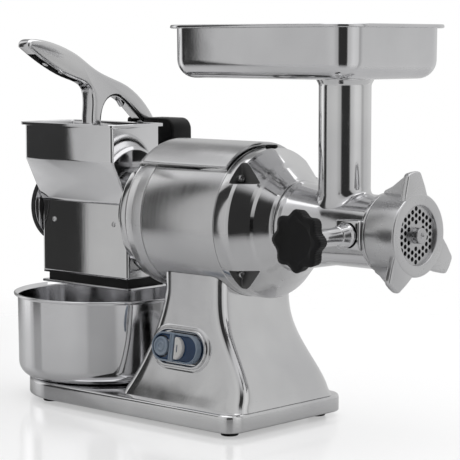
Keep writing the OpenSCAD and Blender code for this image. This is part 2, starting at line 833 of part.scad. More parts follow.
module cover_grip() {
  color("black") placed()
    block([housing_x0 - 14, -cover_r + 6, axis_h - 4], [housing_x0 - 8, cover_r - 6, axis_h + 4]);
}

module cover_seal() {
  color("black") placed() {
    xtube(cover_r + 1.2, cover_r, housing_x0 - 8.3, housing_x0 - 2.5);
    xtube(cover_bore_r + 4, cover_bore_r, housing_x0 - 2.5, housing_x0 - seat_gap);
  }
}

// Black housing behind the hopper that carries the lever's hinge and its switch
module hinge_housing() {
  x0 = lever_x - arm_t / 2 - 8;
  x1 = lever_x + 62;
  y0 = hinge_y - 14;
  y1 = hinge_y + 18;
  top = hinge_z + 15;
  color("black") placed() difference() {
    union() {
      xz_extrude(y0, y1) {
        translate([x0, hinge_z - 22]) square([x1 - x0 - 13, top - hinge_z + 22]);
        translate([x0, hinge_z - 22]) square([x1 - x0, top - hinge_z + 9]);
        translate([x1 - 13, top - 13]) circle(13);
      }
      block([x0 + 4, mouth_y1, hinge_z - 38], [x1 - 4, y1 - 4, hinge_z - 22 + eps]);
    }
    block([lever_x - arm_t / 2 - free_gap, y0 - 1, hinge_z - 16], [lever_x + arm_t / 2 + free_gap,
        y1 + 1, top + 1]);
    pin_place() cylinder(r = hinge_pin_r, h = pin_l);
  }
}

module pin_place() {
  translate([lever_x - pin_l / 2, hinge_y, hinge_z]) rotate([0, 90, 0]) children();
}

module hinge_pin() {
  color("lightgray") placed() pin_place() cylinder(r = hinge_pin_r, h = pin_l);
}

// Side outline of the lever: grip, arm, arch and leg
module lever_outline() {
  translate([back, rise]) polygon(concat(
    curve([74.6, 333], [62, 352], [45, 370], [20.3, 379.2]),
    curve([20.3, 379.2], [6, 384.5], [-10, 389], [-22.5, 395.3]),
    curve([-22.5, 395.3], [-35, 401.5], [-45, 410], [-57.6, 415.7]),
    curve([-57.6, 415.7], [-80, 426], [-105, 432.5], [-122.6, 431.9]),
    curve([-122.6, 431.9], [-129, 431.5], [-131.8, 428], [-131.8, 422.8]),
    curve([-131.8, 422.8], [-115, 411], [-90, 396], [-66, 387.5]),
    curve([-66, 387.5], [-52, 383], [-40, 381], [-35.7, 376.5]),
    curve([-35.7, 376.5], [-30, 370], [-31, 355], [-35, 332.4]),
    [[-31, 268], [-15, 268]],
    curve([-16.6, 331.8], [-15.5, 350], [-8, 363.5], [6.8, 363.7]),
    curve([6.8, 363.7], [20, 363.5], [36, 346], [50, 335]),
    [[56, 322]]
  ));
}

module press_lever() {
  grip_w = 27;
  color("silver") placed() difference() {
    union() {
      yz_extrude(lever_x - arm_t / 2, lever_x + arm_t / 2) {
        lever_outline();
        translate([hinge_y, hinge_z]) circle(12);
      }
      intersection() {
        yz_extrude(lever_x - grip_w / 2, lever_x + grip_w / 2) lever_outline();
        block([lever_x - 30, back - 140, rise + 380], [lever_x + 30, back - 46, rise + 440]);
      }
    }
    // hollow underside of the grip
    intersection() {
      translate([0, 3, -7.5]) yz_extrude(lever_x - grip_w / 2 + 3.5,
          lever_x + grip_w / 2 - 3.5) lever_outline();
      block([lever_x - 30, back - 126, rise + 360], [lever_x + 30, back - 52, rise + 440]);
    }
    translate([lever_x - 20, hinge_y, hinge_z]) rotate([0, 90,
        0]) cylinder(r = hinge_pin_r + run_fit, h = 40);
  }
}

// Presser that follows the drum's curve when the lever is down
module press_plate() {
  ri = drum_r + 1.6;
  ro = ri + 5;
  color("silver") placed() {
    intersection() {
      xtube(ro, ri, housing_x0 + 6, housing_x1 - 6);
      yz_extrude(housing_x0, housing_x1) translate([0, axis_h]) polygon([[0, 0], [-52, 34], [-52,
          80], [14, 80], [14, 50]]);
    }
    difference() {
      block([lever_x - arm_t / 2 - 3, -30, axis_h + drum_r - 6], [lever_x + arm_t / 2 + 3, -13,
          axis_h + drum_r + 12]);
      xcyl(ri + 1, housing_x0, housing_x1);
      yz_extrude(lever_x - arm_t / 2, lever_x + arm_t / 2) lever_outline();
    }
  }
}

// Stands on the housing's front and back at each of its screws, facing out
module screw_places() {
  for (s = [-1, 1]) for (x = [housing_x1 - 22.5, housing_x0 + 22.5])
    translate([x, s * housing_half, axis_h - 14]) rotate([s * -90, 0, 0]) children();
}

module housing_screws() {
  color("dimgray") placed() screw_places() {
    translate([0, 0, -sheet]) cylinder(r = screw_hole_r, h = sheet);
    cylinder(r = 3.2, h = 1.6);
  }
}

// ---- bowl ----

module catch_bowl() {
  z0 = base_z1 + seat_gap;
  r = bowl_r;
  c = bowl_corner;
  t = pan_sheet;
  color("silver") placed() translate([bowl_x, 0, 0]) rotate_extrude($fn = 128) polygon(concat(
    [[0, z0]],
    [for (a = [-90 : 15 : 0]) [r - c + c * cos(a), z0 + c + c * sin(a)]],
    [[r, bowl_z1 - 3], [r + bowl_lip - 1, bowl_z1 - 3], [r + bowl_lip, bowl_z1 - 1.5],
        [r + bowl_lip - 1, bowl_z1], [r - t, bowl_z1]],
    [for (a = [0 : -15 : -90]) [r - c + (c - t) * cos(a), z0 + c + (c - t) * sin(a)]],
    [[0, z0 + t]]
  ));
}

// ---- mincer ----

module mincer_body() {
  neck_r = bearing_r + 10.8;
  color("silver") placed() difference() {
    union() {
      xturn([[nose_x - 3.6, 0], [nose_x - 3.6, neck_r], [nose_x + 4.3, neck_r], [nose_x + 4.3, nose_r - 5],
        [nose_x + 10, nose_r - 5], [feed_x - 8, mincer_r], [flange_x1 - 6, mincer_r],
            [flange_x1 - 5, mincer_r + 3],
        [flange_x1, mincer_r + 3], [flange_x1, mincer_r], [mincer_x1, mincer_r], [mincer_x1, 0]]);
      translate([feed_x, 0, axis_h]) cylinder(r = tube_r, h = feed_rise);
      block([knob_x - boss_size / 2, -boss_y, axis_h - boss_size / 2], [knob_x + boss_size / 2, 0,
          axis_h + boss_size / 2]);
    }
    xcyl(output_r + 1, nose_x - 5, auger_x0);
    xcyl(chamber_r, auger_x0 - 2, mincer_x1 + 1);
    translate([feed_x, 0, axis_h]) cylinder(r = feed_r, h = feed_rise + 1);
    translate([knob_x, 0, axis_h]) rotate([90, 0, 0]) cylinder(r = screw_r + run_fit, h = boss_y + 2);
  }
}

// Cross-section of the feed screw at an angle: a round core with one flight that stands out of it
function flight_r(core, a) = core + (auger_r - core) * pow(max(0, cos(a)), 4);

// Feed screw: one flight round a thick core, with the square tang and the front stud
module auger() {
  turns = 2.6;
  flight_x0 = auger_x0 + 1;
  flight_x1 = knife_x0 - 1;
  core = 15;
  color("lightgray") placed() {
    translate([flight_x0, 0, axis_h]) rotate([0, 90, 0])
      linear_extrude(flight_x1 - flight_x0, twist = 360 * turns, slices = 34)
        polygon([for (a = [0 : 18 : 342]) flight_r(core, a) * [cos(a), sin(a)]]);
    xcyl(output_r - 1, nose_x + 8.4, flight_x0 + 2);
    xcyl(stud_r, flight_x1 - 2, nut_x1 + 4);
    translate([nose_x - 7, -6, axis_h - 6]) cube([20, 12, 12]);
  }
}

module cutter_knife() {
  color("gray") placed() difference() {
    union() {
      xcyl(14, knife_x0, knife_x0 + knife_t);
      for (a = [0 : 90 : 270]) translate([0, 0, axis_h]) rotate([a, 0, 0])
        block([knife_x0 + 1, -4, 10], [knife_x0 + knife_t, 4, chamber_r - 2]);
    }
    xcyl(stud_r, knife_x0 - 1, knife_x0 + knife_t + 1);
  }
}

// Centres of the plate's holes: a hexagonal grid between the hub and the rim
function plate_holes(pitch, r_in, r_out) = [
  for (i = [-8 : 8]) for (j = [-8 : 8])
    let (p = [pitch * (i + j / 2), pitch * j * sqrt(3) / 2], d = norm(p))
      if (d > r_in && d < r_out) p
];

module hole_plate() {
  pitch = plate_hole_d + 2;
  color("gray") placed() difference() {
    xcyl(plate_r, plate_x0, plate_x1);
    xcyl(stud_r + run_fit, plate_x0 - 1, plate_x1 + 1);
    for (p = plate_holes(pitch, stud_r + plate_hole_d / 2 + 2.2, plate_r - plate_hole_d / 2 - 2.6))
      translate([plate_x0 - 1, p[1], axis_h + p[0]]) rotate([0, 90, 0]) cylinder(d = plate_hole_d,
          h = plate_t + 2, $fn = 24);
  }
}

wing_angles = [6, -123, 142];

module ring_nut() {
  color("silver") placed() difference() {
    union() {
      xcyl(nut_r, nut_x0, nut_x1);
      for (a = wing_angles) translate([0, 0, axis_h]) rotate([a, 0, 0]) {
        yz_extrude(nut_x1 - 9, nut_x1 - 1)
          polygon([[-19, nut_r - 12], [-16, nut_r + 6], [-10, wing_r - 4], [-6, wing_r], [6,
              wing_r], [10, wing_r - 4],
            [16, nut_r + 6], [19, nut_r - 12]]);
        xz_extrude(-4, 4) polygon([[nut_x0, nut_r - 4], [nut_x0 + 4, nut_r + 3], [nut_x1 - 8,
            wing_r - 8], [nut_x1 - 8, nut_r - 4]]);
      }
    }
    xcyl(mincer_r + free_gap, nut_x0 - 1, plate_x1 + seat_gap);
    xcyl(plate_r - 3.5, nut_x1 - 6, nut_x1 + 1);
  }
}

// ---- tray ----

module tray_outline(grow) {
  rounded_rect([tray_x0 - grow, -tray_w / 2 - grow], [tray_x0 + tray_l + grow, tray_w / 2 + grow],
      tray_corner + grow);
}

// Pressed steel tray with a stepped bottom edge and a collar that drops into the feed tube
module feed_tray() {
  t = pan_sheet;
  steps = [for (a = [0 : 30 : 90]) [tray_bottom_r * (1 - sin(a)), tray_bottom_r * (1 - cos(a))]];
  color("silver") placed() {
    difference() {
      union() {
        for (i = [0 : 2]) translate([0, 0, tray_z0 + steps[i][1]])
          linear_extrude(steps[i + 1][1] - steps[i][1] + eps)
            tray_outline(-steps[i + 1][0] * 0.5 - steps[i][0] * 0.5);
        translate([0, 0, tray_z0 + tray_bottom_r]) linear_extrude(tray_h - tray_bottom_r) tray_outline(0);
        translate([0, 0, tray_z1 - 2]) linear_extrude(2) tray_outline(tray_lip);
      }
      for (i = [0 : 2]) translate([0, 0, tray_z0 + t + steps[i][1]])
        linear_extrude(steps[i + 1][1] - steps[i][1] + eps)
            tray_outline(-steps[i + 1][0] * 0.5 - steps[i][0] * 0.5 - t);
      translate([0, 0, tray_z0 + tray_bottom_r + t]) linear_extrude(tray_h) tray_outline(-t);
      translate([feed_x, 0, tray_z0 - 1]) cylinder(r = feed_r - run_fit - 1.2, h = 5);
    }
    translate([feed_x, 0, tray_z0 - 16]) difference() {
      cylinder(r = feed_r - run_fit, h = 16 + t);
      translate([0, 0, -1]) cylinder(r = feed_r - run_fit - 1.2, h = 20);
    }
  }
}

// ---- clamp screw and knob ----

module ycyl(r, y0, y1) {
  translate([knob_x, -y0, axis_h]) rotate([90, 0, 0]) cylinder(r = r, h = y1 - y0);
}

module clamp_pad() {
  color("goldenrod") placed() ycyl(screw_r, chamber_r + 1, chamber_r + 5);
}

module clamp_screw() {
  color("lightgray") placed() {
    ycyl(screw_r, chamber_r + 5.3, knob_reach + 8);
    translate([knob_x, -boss_y - 3, axis_h]) rotate([90, 0, 0]) cylinder(r1 = 13, r2 = 10, h = 16);
    ycyl(10, boss_y + 18.9, knob_reach);
  }
}

module star_knob() {
  lobes = 8;
  core = knob_r * 0.86;
  color("black") placed() translate([knob_x, -knob_reach, axis_h]) rotate([90, 0, 0]) difference() {
    linear_extrude(knob_t)
        polygon([for (a = [0 : 5 : 355])
            let (r = core + (knob_r - core) * (1 + cos(lobes * a)) / 2)
            [r * cos(a), r * sin(a)]]);
    translate([0, 0, -1]) cylinder(r = screw_r, h = 9);
  }
}

base_column();
base_cover();
cover_screws();
rubber_feet();
control_board();
run_capacitor();
cable_gland();
switch_bezel();
switch_block();
start_button();
stop_button();
barrel_tube();
vent_cowl();
grater_end_cap();
stator();
rotor_core();
motor_shaft();
cooling_fan();
motor_bearings();
tie_screws();
gear_plate();
gear_housing();
breather_plug();
motor_pinion();
intermediate_wheel();
layshaft_pinion();
output_wheel();
gear_bearings();
grater_neck();
drum_housing();
hopper();
outlet_collar();
safety_grille();
grating_drum();
drum_cover();
cover_grip();
cover_seal();
hinge_housing();
hinge_pin();
press_lever();
press_plate();
housing_screws();
catch_bowl();
mincer_body();
auger();
cutter_knife();
hole_plate();
ring_nut();
feed_tray();
clamp_pad();
clamp_screw();
star_knob();
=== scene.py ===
"""Electric meat grinder with a cheese grater: the looks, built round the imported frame.

Sizes are millimetres in the column's own frame (x 0 at the column, y 0 on the motor shaft,
z 0 on the worktop) and are turned into the row frame's metres when a mesh is made.
"""

import math

import bmesh
import bpy
import numpy as np
from mathutils import Matrix, Vector


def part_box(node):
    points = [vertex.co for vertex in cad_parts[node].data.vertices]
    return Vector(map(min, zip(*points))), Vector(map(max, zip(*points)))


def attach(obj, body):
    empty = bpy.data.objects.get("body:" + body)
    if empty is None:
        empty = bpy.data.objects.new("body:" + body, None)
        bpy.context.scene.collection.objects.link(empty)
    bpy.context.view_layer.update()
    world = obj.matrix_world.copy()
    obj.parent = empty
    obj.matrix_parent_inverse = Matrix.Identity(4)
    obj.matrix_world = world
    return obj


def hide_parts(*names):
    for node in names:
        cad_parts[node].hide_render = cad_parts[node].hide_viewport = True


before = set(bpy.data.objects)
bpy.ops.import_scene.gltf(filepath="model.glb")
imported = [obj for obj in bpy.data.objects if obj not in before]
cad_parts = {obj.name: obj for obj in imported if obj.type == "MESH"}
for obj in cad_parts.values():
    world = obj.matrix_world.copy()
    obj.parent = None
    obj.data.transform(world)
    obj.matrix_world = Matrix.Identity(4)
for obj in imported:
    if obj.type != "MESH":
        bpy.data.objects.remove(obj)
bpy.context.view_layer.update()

MM = 0.001
BARREL_END_X = 52
tube_low, tube_high = (np.array(corner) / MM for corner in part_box("barrel_tube"))
SHIFT = np.array([tube_high[0] - BARREL_END_X, (tube_low[1] + tube_high[1]) / 2, 0])
AXIS_Z = (tube_low[2] + tube_high[2]) / 2


def span(node):
    """Lowest and highest corner of a CAD node, in the column frame's millimetres."""
    low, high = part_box(node)
    return np.array(low) / MM - SHIFT, np.array(high) / MM - SHIFT


# ---- camera, floor and light ----

VIEW_AZIMUTH = math.radians(42.8)
VIEW_ELEVATION = math.radians(5.8)
VIEW_DISTANCE = 2078
VIEW_TARGET = np.array([0, 0, 215.5])


def make_camera():
    """Long lens from the front right, a little above the middle of the machine."""
    back = np.array([
        math.sin(VIEW_AZIMUTH) * math.cos(VIEW_ELEVATION),
        -math.cos(VIEW_AZIMUTH) * math.cos(VIEW_ELEVATION),
        math.sin(VIEW_ELEVATION),
    ])
    camera = bpy.data.objects.new("camera", bpy.data.cameras.new("camera"))
    camera.data.lens = 142.8
    camera.data.sensor_width = 36
    camera.location = Vector((VIEW_TARGET + back * VIEW_DISTANCE + SHIFT) * MM)
    camera.rotation_euler = Vector(-back).to_track_quat("-Z", "Y").to_euler()
    bpy.context.scene.collection.objects.link(camera)
    bpy.context.scene.camera = camera


def softbox(name, place, target, size, power):
    """A rectangular light that faces a point; places are metres in the row frame."""
    data = bpy.data.lights.new(name, "AREA")
    data.shape = "RECTANGLE"
    data.size, data.size_y = size
    data.energy = power
    light = bpy.data.objects.new(name, data)
    light.location = place
    light.rotation_euler = (Vector(target) - Vector(place)).to_track_quat("-Z", "Y").to_euler()
    bpy.context.scene.collection.objects.link(light)


def add(tree, kind, **settings):
    """A new shader node with its inputs and properties set by name."""
    made = tree.nodes.new(kind)
    for key, value in settings.items():
        if key in made.inputs:
            made.inputs[key].default_value = value
        else:
            setattr(made, key, value)
    return made


def grey_ramp(tree, value, stops, interpolation="EASE"):
    """Grey levels at places along 0 to 1."""
    ramp = add(tree, "ShaderNodeValToRGB")
    ramp.color_ramp.interpolation = interpolation
    while len(ramp.color_ramp.elements) < len(stops):
        ramp.color_ramp.elements.new(0.5)
    for element, (place, level) in zip(ramp.color_ramp.elements, stops):
        element.position = place
        element.color = (level, level, level, 1)
    tree.links.new(value, ramp.inputs["Fac"])
    return ramp.outputs["Color"]


def math_node(tree, operation, a, b=None):
    """One step of shader arithmetic on numbers or sockets."""
    made = add(tree, "ShaderNodeMath", operation=operation)
    for socket, value in zip(made.inputs, (a, b)):
        if isinstance(value, (int, float)):
            socket.default_value = value
        elif value is not None:
            tree.links.new(value, socket)
    return made.outputs[0]


def make_floor():
    """White table whose edge fades out, so that the metal mirrors the walls and not an endless floor."""
    bpy.ops.mesh.primitive_plane_add(size=6, location=(0, 0, 0))
    floor = bpy.context.object
    floor.name = "floor"
    material, tree, shader, coords = new_material("white_floor")
    shader.inputs["Base Color"].default_value = (0.68, 0.68, 0.68, 1)
    shader.inputs["Roughness"].default_value = 0.12
    shader.inputs["Emission Color"].default_value = (1, 1, 1, 1)
    seen = add(tree, "ShaderNodeLightPath").outputs["Is Camera Ray"]
    tree.links.new(math_node(tree, "MULTIPLY", seen, 0.42), shader.inputs["Emission Strength"])
    reach = add(tree, "ShaderNodeVectorMath", operation="LENGTH")
    tree.links.new(coords, reach.inputs[0])
    fade = grey_ramp(tree, math_node(tree, "DIVIDE", reach.outputs["Value"], 2.0),
                     [(0.28, 0.0), (0.6, 1.0)])
    mix = add(tree, "ShaderNodeMixShader")
    tree.links.new(fade, mix.inputs["Fac"])
    tree.links.new(shader.outputs[0], mix.inputs[1])
    tree.links.new(add(tree, "ShaderNodeBsdfTransparent").outputs[0], mix.inputs[2])
    tree.links.new(mix.outputs[0], tree.nodes["Material Output"].inputs["Surface"])
    floor.data.materials.append(material)


def make_studio():
    """White room with dark flags: what the polished metal mirrors, by compass bearing and height."""
    world = bpy.data.worlds.new("studio")
    bpy.context.scene.world = world
    world.use_nodes = True
    tree = world.node_tree
    tree.nodes.clear()
    direction = add(tree, "ShaderNodeSeparateXYZ")
    tree.links.new(add(tree, "ShaderNodeTexCoord").outputs["Generated"], direction.inputs[0])
    turn = math_node(tree, "ARCTAN2", direction.outputs["Y"], direction.outputs["X"])
    bearing = math_node(tree, "ADD", math_node(tree, "DIVIDE", turn, 2 * math.pi), 0.5)
    # 0 and 1 point to -X, 0.25 to -Y, 0.5 to +X and 0.75 to +Y
    walls = grey_ramp(tree, bearing, [
        (0.000, 0.66), (0.022, 0.95), (0.050, 1.00), (0.062, 0.60), (0.074, 0.50), (0.078, 0.04),
        (0.1188, 0.04), (0.1202, 0.58), (0.250, 0.64), (0.305, 0.50), (0.325, 0.035), (0.412, 0.035),
        (0.432, 0.60), (0.500, 0.80), (0.555, 0.74), (0.585, 0.46), (0.630, 0.64), (0.740, 0.72),
        (0.880, 0.60), (0.897, 0.28), (0.950, 0.22), (0.975, 0.40), (1.000, 0.66),
    ])
    ceiling = grey_ramp(tree, direction.outputs["Z"], [(0.0, 0.0), (0.6, 0.0), (0.8, 1.0)])
    mix = add(tree, "ShaderNodeMix", data_type="RGBA")
    tree.links.new(ceiling, mix.inputs["Factor"])
    tree.links.new(walls, mix.inputs["A"])
    mix.inputs["B"].default_value = (0.72, 0.72, 0.73, 1)
    mirrored = add(tree, "ShaderNodeBackground", Strength=1.0)
    tree.links.new(mix.outputs["Result"], mirrored.inputs["Color"])
    seen = add(tree, "ShaderNodeBackground", Color=(1, 1, 1, 1), Strength=1.0)
    chosen = add(tree, "ShaderNodeMixShader")
    tree.links.new(add(tree, "ShaderNodeLightPath").outputs["Is Camera Ray"], chosen.inputs["Fac"])
    tree.links.new(mirrored.outputs[0], chosen.inputs[1])
    tree.links.new(seen.outputs[0], chosen.inputs[2])
    tree.links.new(chosen.outputs[0], add(tree, "ShaderNodeOutputWorld").inputs["Surface"])

    softbox("top_softbox", (-0.1, 0.2, 2.2), (0, 0, 0.2), (2.4, 2.4), 16)

    make_floor()
    bpy.context.scene.view_settings.view_transform = "Standard"


# ---- materials ----

def new_material(name):
    """A fresh material, its tree, its main shader and the object's own coordinates."""
    material = bpy.data.materials.new(name)
    material.use_nodes = True
    tree = material.node_tree
    shader = tree.nodes["Principled BSDF"]
    return material, tree, shader, add(tree, "ShaderNodeTexCoord").outputs["Object"]


def noise(tree, coords, scale, stretch=(1, 1, 1), detail=3):
    """Noise of the object's own coordinates, drawn out along an axis where its stretch is small."""
    mapping = add(tree, "ShaderNodeMapping", Scale=stretch)
    tree.links.new(coords, mapping.inputs["Vector"])
    made = add(tree, "ShaderNodeTexNoise", Scale=scale, Detail=detail)
    tree.links.new(mapping.outputs["Vector"], made.inputs["Vector"])
    return made.outputs["Fac"]


def spread(tree, value, low, high):
    """Takes the middle of a noise's range to the range low to high."""
    limits = {"From Min": 0.3, "From Max": 0.7, "To Min": low, "To Max": high}
    made = add(tree, "ShaderNodeMapRange", **limits)
    tree.links.new(value, made.inputs["Value"])
    return made.outputs["Result"]


def tint(tree, value, dark, light):
    """Colour between two, by a noise."""
    mix = add(tree, "ShaderNodeMix", data_type="RGBA")
    tree.links.new(spread(tree, value, 0, 1), mix.inputs["Factor"])
    mix.inputs["A"].default_value = (*dark, 1)
    mix.inputs["B"].default_value = (*light, 1)
    return mix.outputs["Result"]


def bumps(tree, shader, *layers):
    """Stacks bump layers, each (height, strength, distance in metres)."""
    normal = None
    for height, strength, distance in layers:
        made = add(tree, "ShaderNodeBump", Strength=strength, Distance=distance)
        tree.links.new(height, made.inputs["Height"])
        if normal:
            tree.links.new(normal, made.inputs["Normal"])
        normal = made.outputs["Normal"]
    tree.links.new(normal, shader.inputs["Normal"])


def metal(name, dark, light, rough, wave=0.25, grain=None, grain_depth=0.12):
    """Bare metal: two tones in broad clouds, roughness that varies, a slight unevenness
    from hand polishing, and a brushed or turned grain where grain gives its stretch."""
    material, tree, shader, coords = new_material(name)
    shader.inputs["Metallic"].default_value = 1.0
    clouds = noise(tree, coords, 7, detail=4)
    tree.links.new(tint(tree, clouds, dark, light), shader.inputs["Base Color"])
    smears = noise(tree, coords, 38, detail=6)
    layers = [(noise(tree, coords, 13, detail=1), wave, 0.0016)]
    if grain:
        lines = noise(tree, coords, 1, stretch=grain, detail=4)
        layers.append((lines, grain_depth, 0.0003))
        both = math_node(tree, "MULTIPLY", math_node(tree, "ADD", smears, lines), 0.5)
        tree.links.new(spread(tree, both, *rough), shader.inputs["Roughness"])
    else:
        layers.append((noise(tree, coords, 420, detail=2), 0.03, 0.0002))
        tree.links.new(spread(tree, smears, *rough), shader.inputs["Roughness"])
    bumps(tree, shader, *layers)
    return material


def plastic(name, dark, light, rough, pebble=900, depth=0.12, sheen=0.5):
    """Moulded plastic or rubber: a fine pebbled skin over two close tones."""
    material, tree, shader, coords = new_material(name)
    tree.links.new(tint(tree, noise(tree, coords, 24, detail=5), dark, light),
                   shader.inputs["Base Color"])
    tree.links.new(spread(tree, noise(tree, coords, 60, detail=4), *rough), shader.inputs["Roughness"])
    shader.inputs["Specular IOR Level"].default_value = sheen
    bumps(tree, shader, (noise(tree, coords, pebble, detail=2), depth, 0.0003))
    return material


def cloudy_plastic():
    """Half-clear guard over the switch: pale blue-grey, light passes a little way in."""
    material = plastic("cloudy_guard", (0.22, 0.30, 0.41), (0.46, 0.53, 0.61), (0.06, 0.2), depth=0.05)
    shader = material.node_tree.nodes["Principled BSDF"]
    shader.inputs["Transmission Weight"].default_value = 0.25
    shader.inputs["IOR"].default_value = 1.49
    return material


def circuit_laminate():
    """Green board with copper tracks on a square grid."""
    material, tree, shader, coords = new_material("circuit_laminate")
    tracks = add(tree, "ShaderNodeTexBrick", Scale=90.0)
    tree.links.new(coords, tracks.inputs["Vector"])
    tracks.inputs["Color1"].default_value = (0.01, 0.10, 0.04, 1)
    tracks.inputs["Color2"].default_value = (0.02, 0.15, 0.06, 1)
    tracks.inputs["Mortar"].default_value = (0.30, 0.22, 0.06, 1)
    tree.links.new(tracks.outputs["Color"], shader.inputs["Base Color"])
    tree.links.new(spread(tree, noise(tree, coords, 50), 0.3, 0.5), shader.inputs["Roughness"])
    return material


MATERIALS = {}


def make_materials():
    """Every finish by name: dark and light tone, then the range of roughness."""
    m = MATERIALS
    m["polished_casting"] = metal("polished_casting", (0.62, 0.62, 0.63), (0.78, 0.78, 0.78),
                                  (0.06, 0.15), 0.16)
    m["satin_casting"] = metal("satin_casting", (0.60, 0.60, 0.61), (0.74, 0.74, 0.74), (0.24, 0.36),
                               0.15, grain=(900, 900, 900), grain_depth=0.06)
    m["turned_barrel"] = metal("turned_barrel", (0.60, 0.60, 0.61), (0.72, 0.72, 0.72), (0.16, 0.26),
                               0.04, grain=(1500, 6, 6), grain_depth=0.04)
    m["polished_steel"] = metal("polished_steel", (0.66, 0.66, 0.67), (0.80, 0.80, 0.81), (0.04, 0.1),
                                0.06)
    m["brushed_steel"] = metal("brushed_steel", (0.58, 0.58, 0.59), (0.74, 0.74, 0.74), (0.03, 0.09),
                               0.02, grain=(1400, 1400, 14), grain_depth=0.05)
    m["machine_steel"] = metal("machine_steel", (0.52, 0.52, 0.53), (0.68, 0.68, 0.68), (0.18, 0.32),
                               0.08, grain=(500, 500, 500))
    m["gear_steel"] = metal("gear_steel", (0.26, 0.26, 0.28), (0.42, 0.42, 0.43), (0.28, 0.45), 0.08,
                            grain=(900, 900, 900))
    m["lamination_steel"] = metal("lamination_steel", (0.30, 0.24, 0.20), (0.50, 0.42, 0.36),
                                  (0.3, 0.5), 0.05, grain=(2000, 4, 4), grain_depth=0.5)
    # rough unpolished metal for the gear housing's pockets and the lever's hollow; its near-black tone is
    # painted shade in those recesses
    m["rough_recess_painted_shade"] = metal("rough_recess_painted_shade", (0.07, 0.07, 0.07), (0.17, 0.17, 0.17), (0.4, 0.6), 0.3,
                             grain=(700, 700, 700), grain_depth=0.3)
    m["brass"] = metal("brass", (0.60, 0.42, 0.16), (0.76, 0.58, 0.28), (0.18, 0.3), 0.1,
                       grain=(900, 900, 900))
    m["black_rubber"] = plastic("black_rubber", (0.012, 0.012, 0.012), (0.03, 0.03, 0.03), (0.6, 0.8),
                                500, 0.25, 0.3)
    m["black_plastic"] = plastic("black_plastic", (0.003, 0.003, 0.003), (0.009, 0.009, 0.01),
                                 (0.35, 0.55), sheen=0.22)
    m["switch_blue"] = plastic("switch_blue", (0.006, 0.03, 0.085), (0.02, 0.06, 0.14), (0.15, 0.3),
                               depth=0.05)
    m["switch_grey"] = cloudy_plastic()
    m["button_white"] = plastic("button_white", (0.70, 0.69, 0.67), (0.82, 0.81, 0.79), (0.2, 0.35),
                                depth=0.05)
    m["capacitor_grey"] = plastic("capacitor_grey", (0.52, 0.52, 0.50), (0.64, 0.64, 0.62), (0.35, 0.5))
    m["circuit_green"] = circuit_laminate()


# ---- surfaces ----
# A surface is (points, faces): points an array in millimetres, faces a list of index tuples.

def grid(points, wrap_rows=False, wrap_columns=True):
    """Four-sided faces between neighbours of a rows x columns array of points."""
    rows, columns = points.shape[:2]
    i, j = np.meshgrid(np.arange(rows if wrap_rows else rows - 1),
                       np.arange(columns if wrap_columns else columns - 1), indexing="ij")
    i, j = i.ravel(), j.ravel()
    i2, j2 = (i + 1) % rows, (j + 1) % columns
    faces = np.stack([i * columns + j, i * columns + j2, i2 * columns + j2, i2 * columns + j], axis=1)
    return points.reshape(-1, 3), faces.tolist()


def arc(centre, radius, start, end, count):
    """Points on a circle between two angles in degrees, as (count, 2)."""
    a = np.radians(np.linspace(start, end, count))
    return np.stack([centre[0] + radius * np.cos(a), centre[1] + radius * np.sin(a)], axis=1)


def rounded(corners, closed=False, steps=5):
    """A line through (a, b, radius) corners, each corner an arc tangent to both of its sides."""
    corners = [tuple(c) + (0,) * (3 - len(c)) for c in corners]
    count = len(corners)
    out = []
    for k, (a, b, radius) in enumerate(corners):
        here = np.array([a, b], float)
        if radius <= 0 or (not closed and k in (0, count - 1)):
            out.append(here[None])
            continue
        to_last = np.array(corners[k - 1][:2], float) - here
        to_next = np.array(corners[(k + 1) % count][:2], float) - here
        lengths = np.linalg.norm(to_last), np.linalg.norm(to_next)
        to_last, to_next = to_last / lengths[0], to_next / lengths[1]
        half = math.acos(np.clip(to_last @ to_next, -1, 1)) / 2
        if half > math.pi / 2 - 0.01:
            out.append(here[None])
            continue
        reach = min(radius / math.tan(half), 0.49 * min(lengths))
        radius = reach * math.tan(half)
        middle = (to_last + to_next) / np.linalg.norm(to_last + to_next)
        centre = here + middle * radius / math.sin(half)
        start = here + to_last * reach - centre
        end = here + to_next * reach - centre
        a0 = math.atan2(start[1], start[0])
        sweep = (math.atan2(end[1], end[0]) - a0 + math.pi) % (2 * math.pi) - math.pi
        angles = a0 + sweep * np.linspace(0, 1, steps + 1)
        out.append(centre + radius * np.stack([np.cos(angles), np.sin(angles)], axis=1))
    return np.concatenate(out)


def lathe(profile, axis="x", centre=(0, 0), segments=96, closed=True, steps=5):
    """A profile of (along, radius, corner rounding) turned round an axis. The centre is the
    axis's place in the other two directions. A closed profile returns along its start."""
    line = rounded(profile, closed=closed, steps=steps)
    a = np.linspace(0, 2 * math.pi, segments, endpoint=False)
    along = np.repeat(line[:, :1], segments, axis=1)
    p = centre[0] + line[:, 1:] * np.cos(a)
    q = centre[1] + line[:, 1:] * np.sin(a)
    order = {"x": (along, p, q), "y": (p, along, q), "z": (p, q, along)}[axis]
    return grid(np.stack(order, axis=2), wrap_rows=closed)


def offset(outline, inset):
    """A closed outline moved inwards along its corners' bisectors; the outline runs anticlockwise."""
    outline = np.asarray(outline, float)
    ahead = np.roll(outline, -1, axis=0) - outline
    ahead /= np.maximum(np.linalg.norm(ahead, axis=1, keepdims=True), 1e-9)
    behind = np.roll(ahead, 1, axis=0)
    normal_1 = np.stack([-behind[:, 1], behind[:, 0]], axis=1)
    normal_2 = np.stack([-ahead[:, 1], ahead[:, 0]], axis=1)
    bisector = normal_1 + normal_2
    bisector /= np.maximum((bisector * bisector).sum(axis=1, keepdims=True) / 2, 0.2)
    return outline + bisector * inset


def stand_up(outline, level, axis):
    """Puts a flat outline at a level along an axis."""
    level = np.full(len(outline), float(level))
    u, v = outline[:, 0], outline[:, 1]
    order = {"x": (level, u, v), "y": (u, level, v), "z": (u, v, level)}[axis]
    return np.stack(order, axis=1)


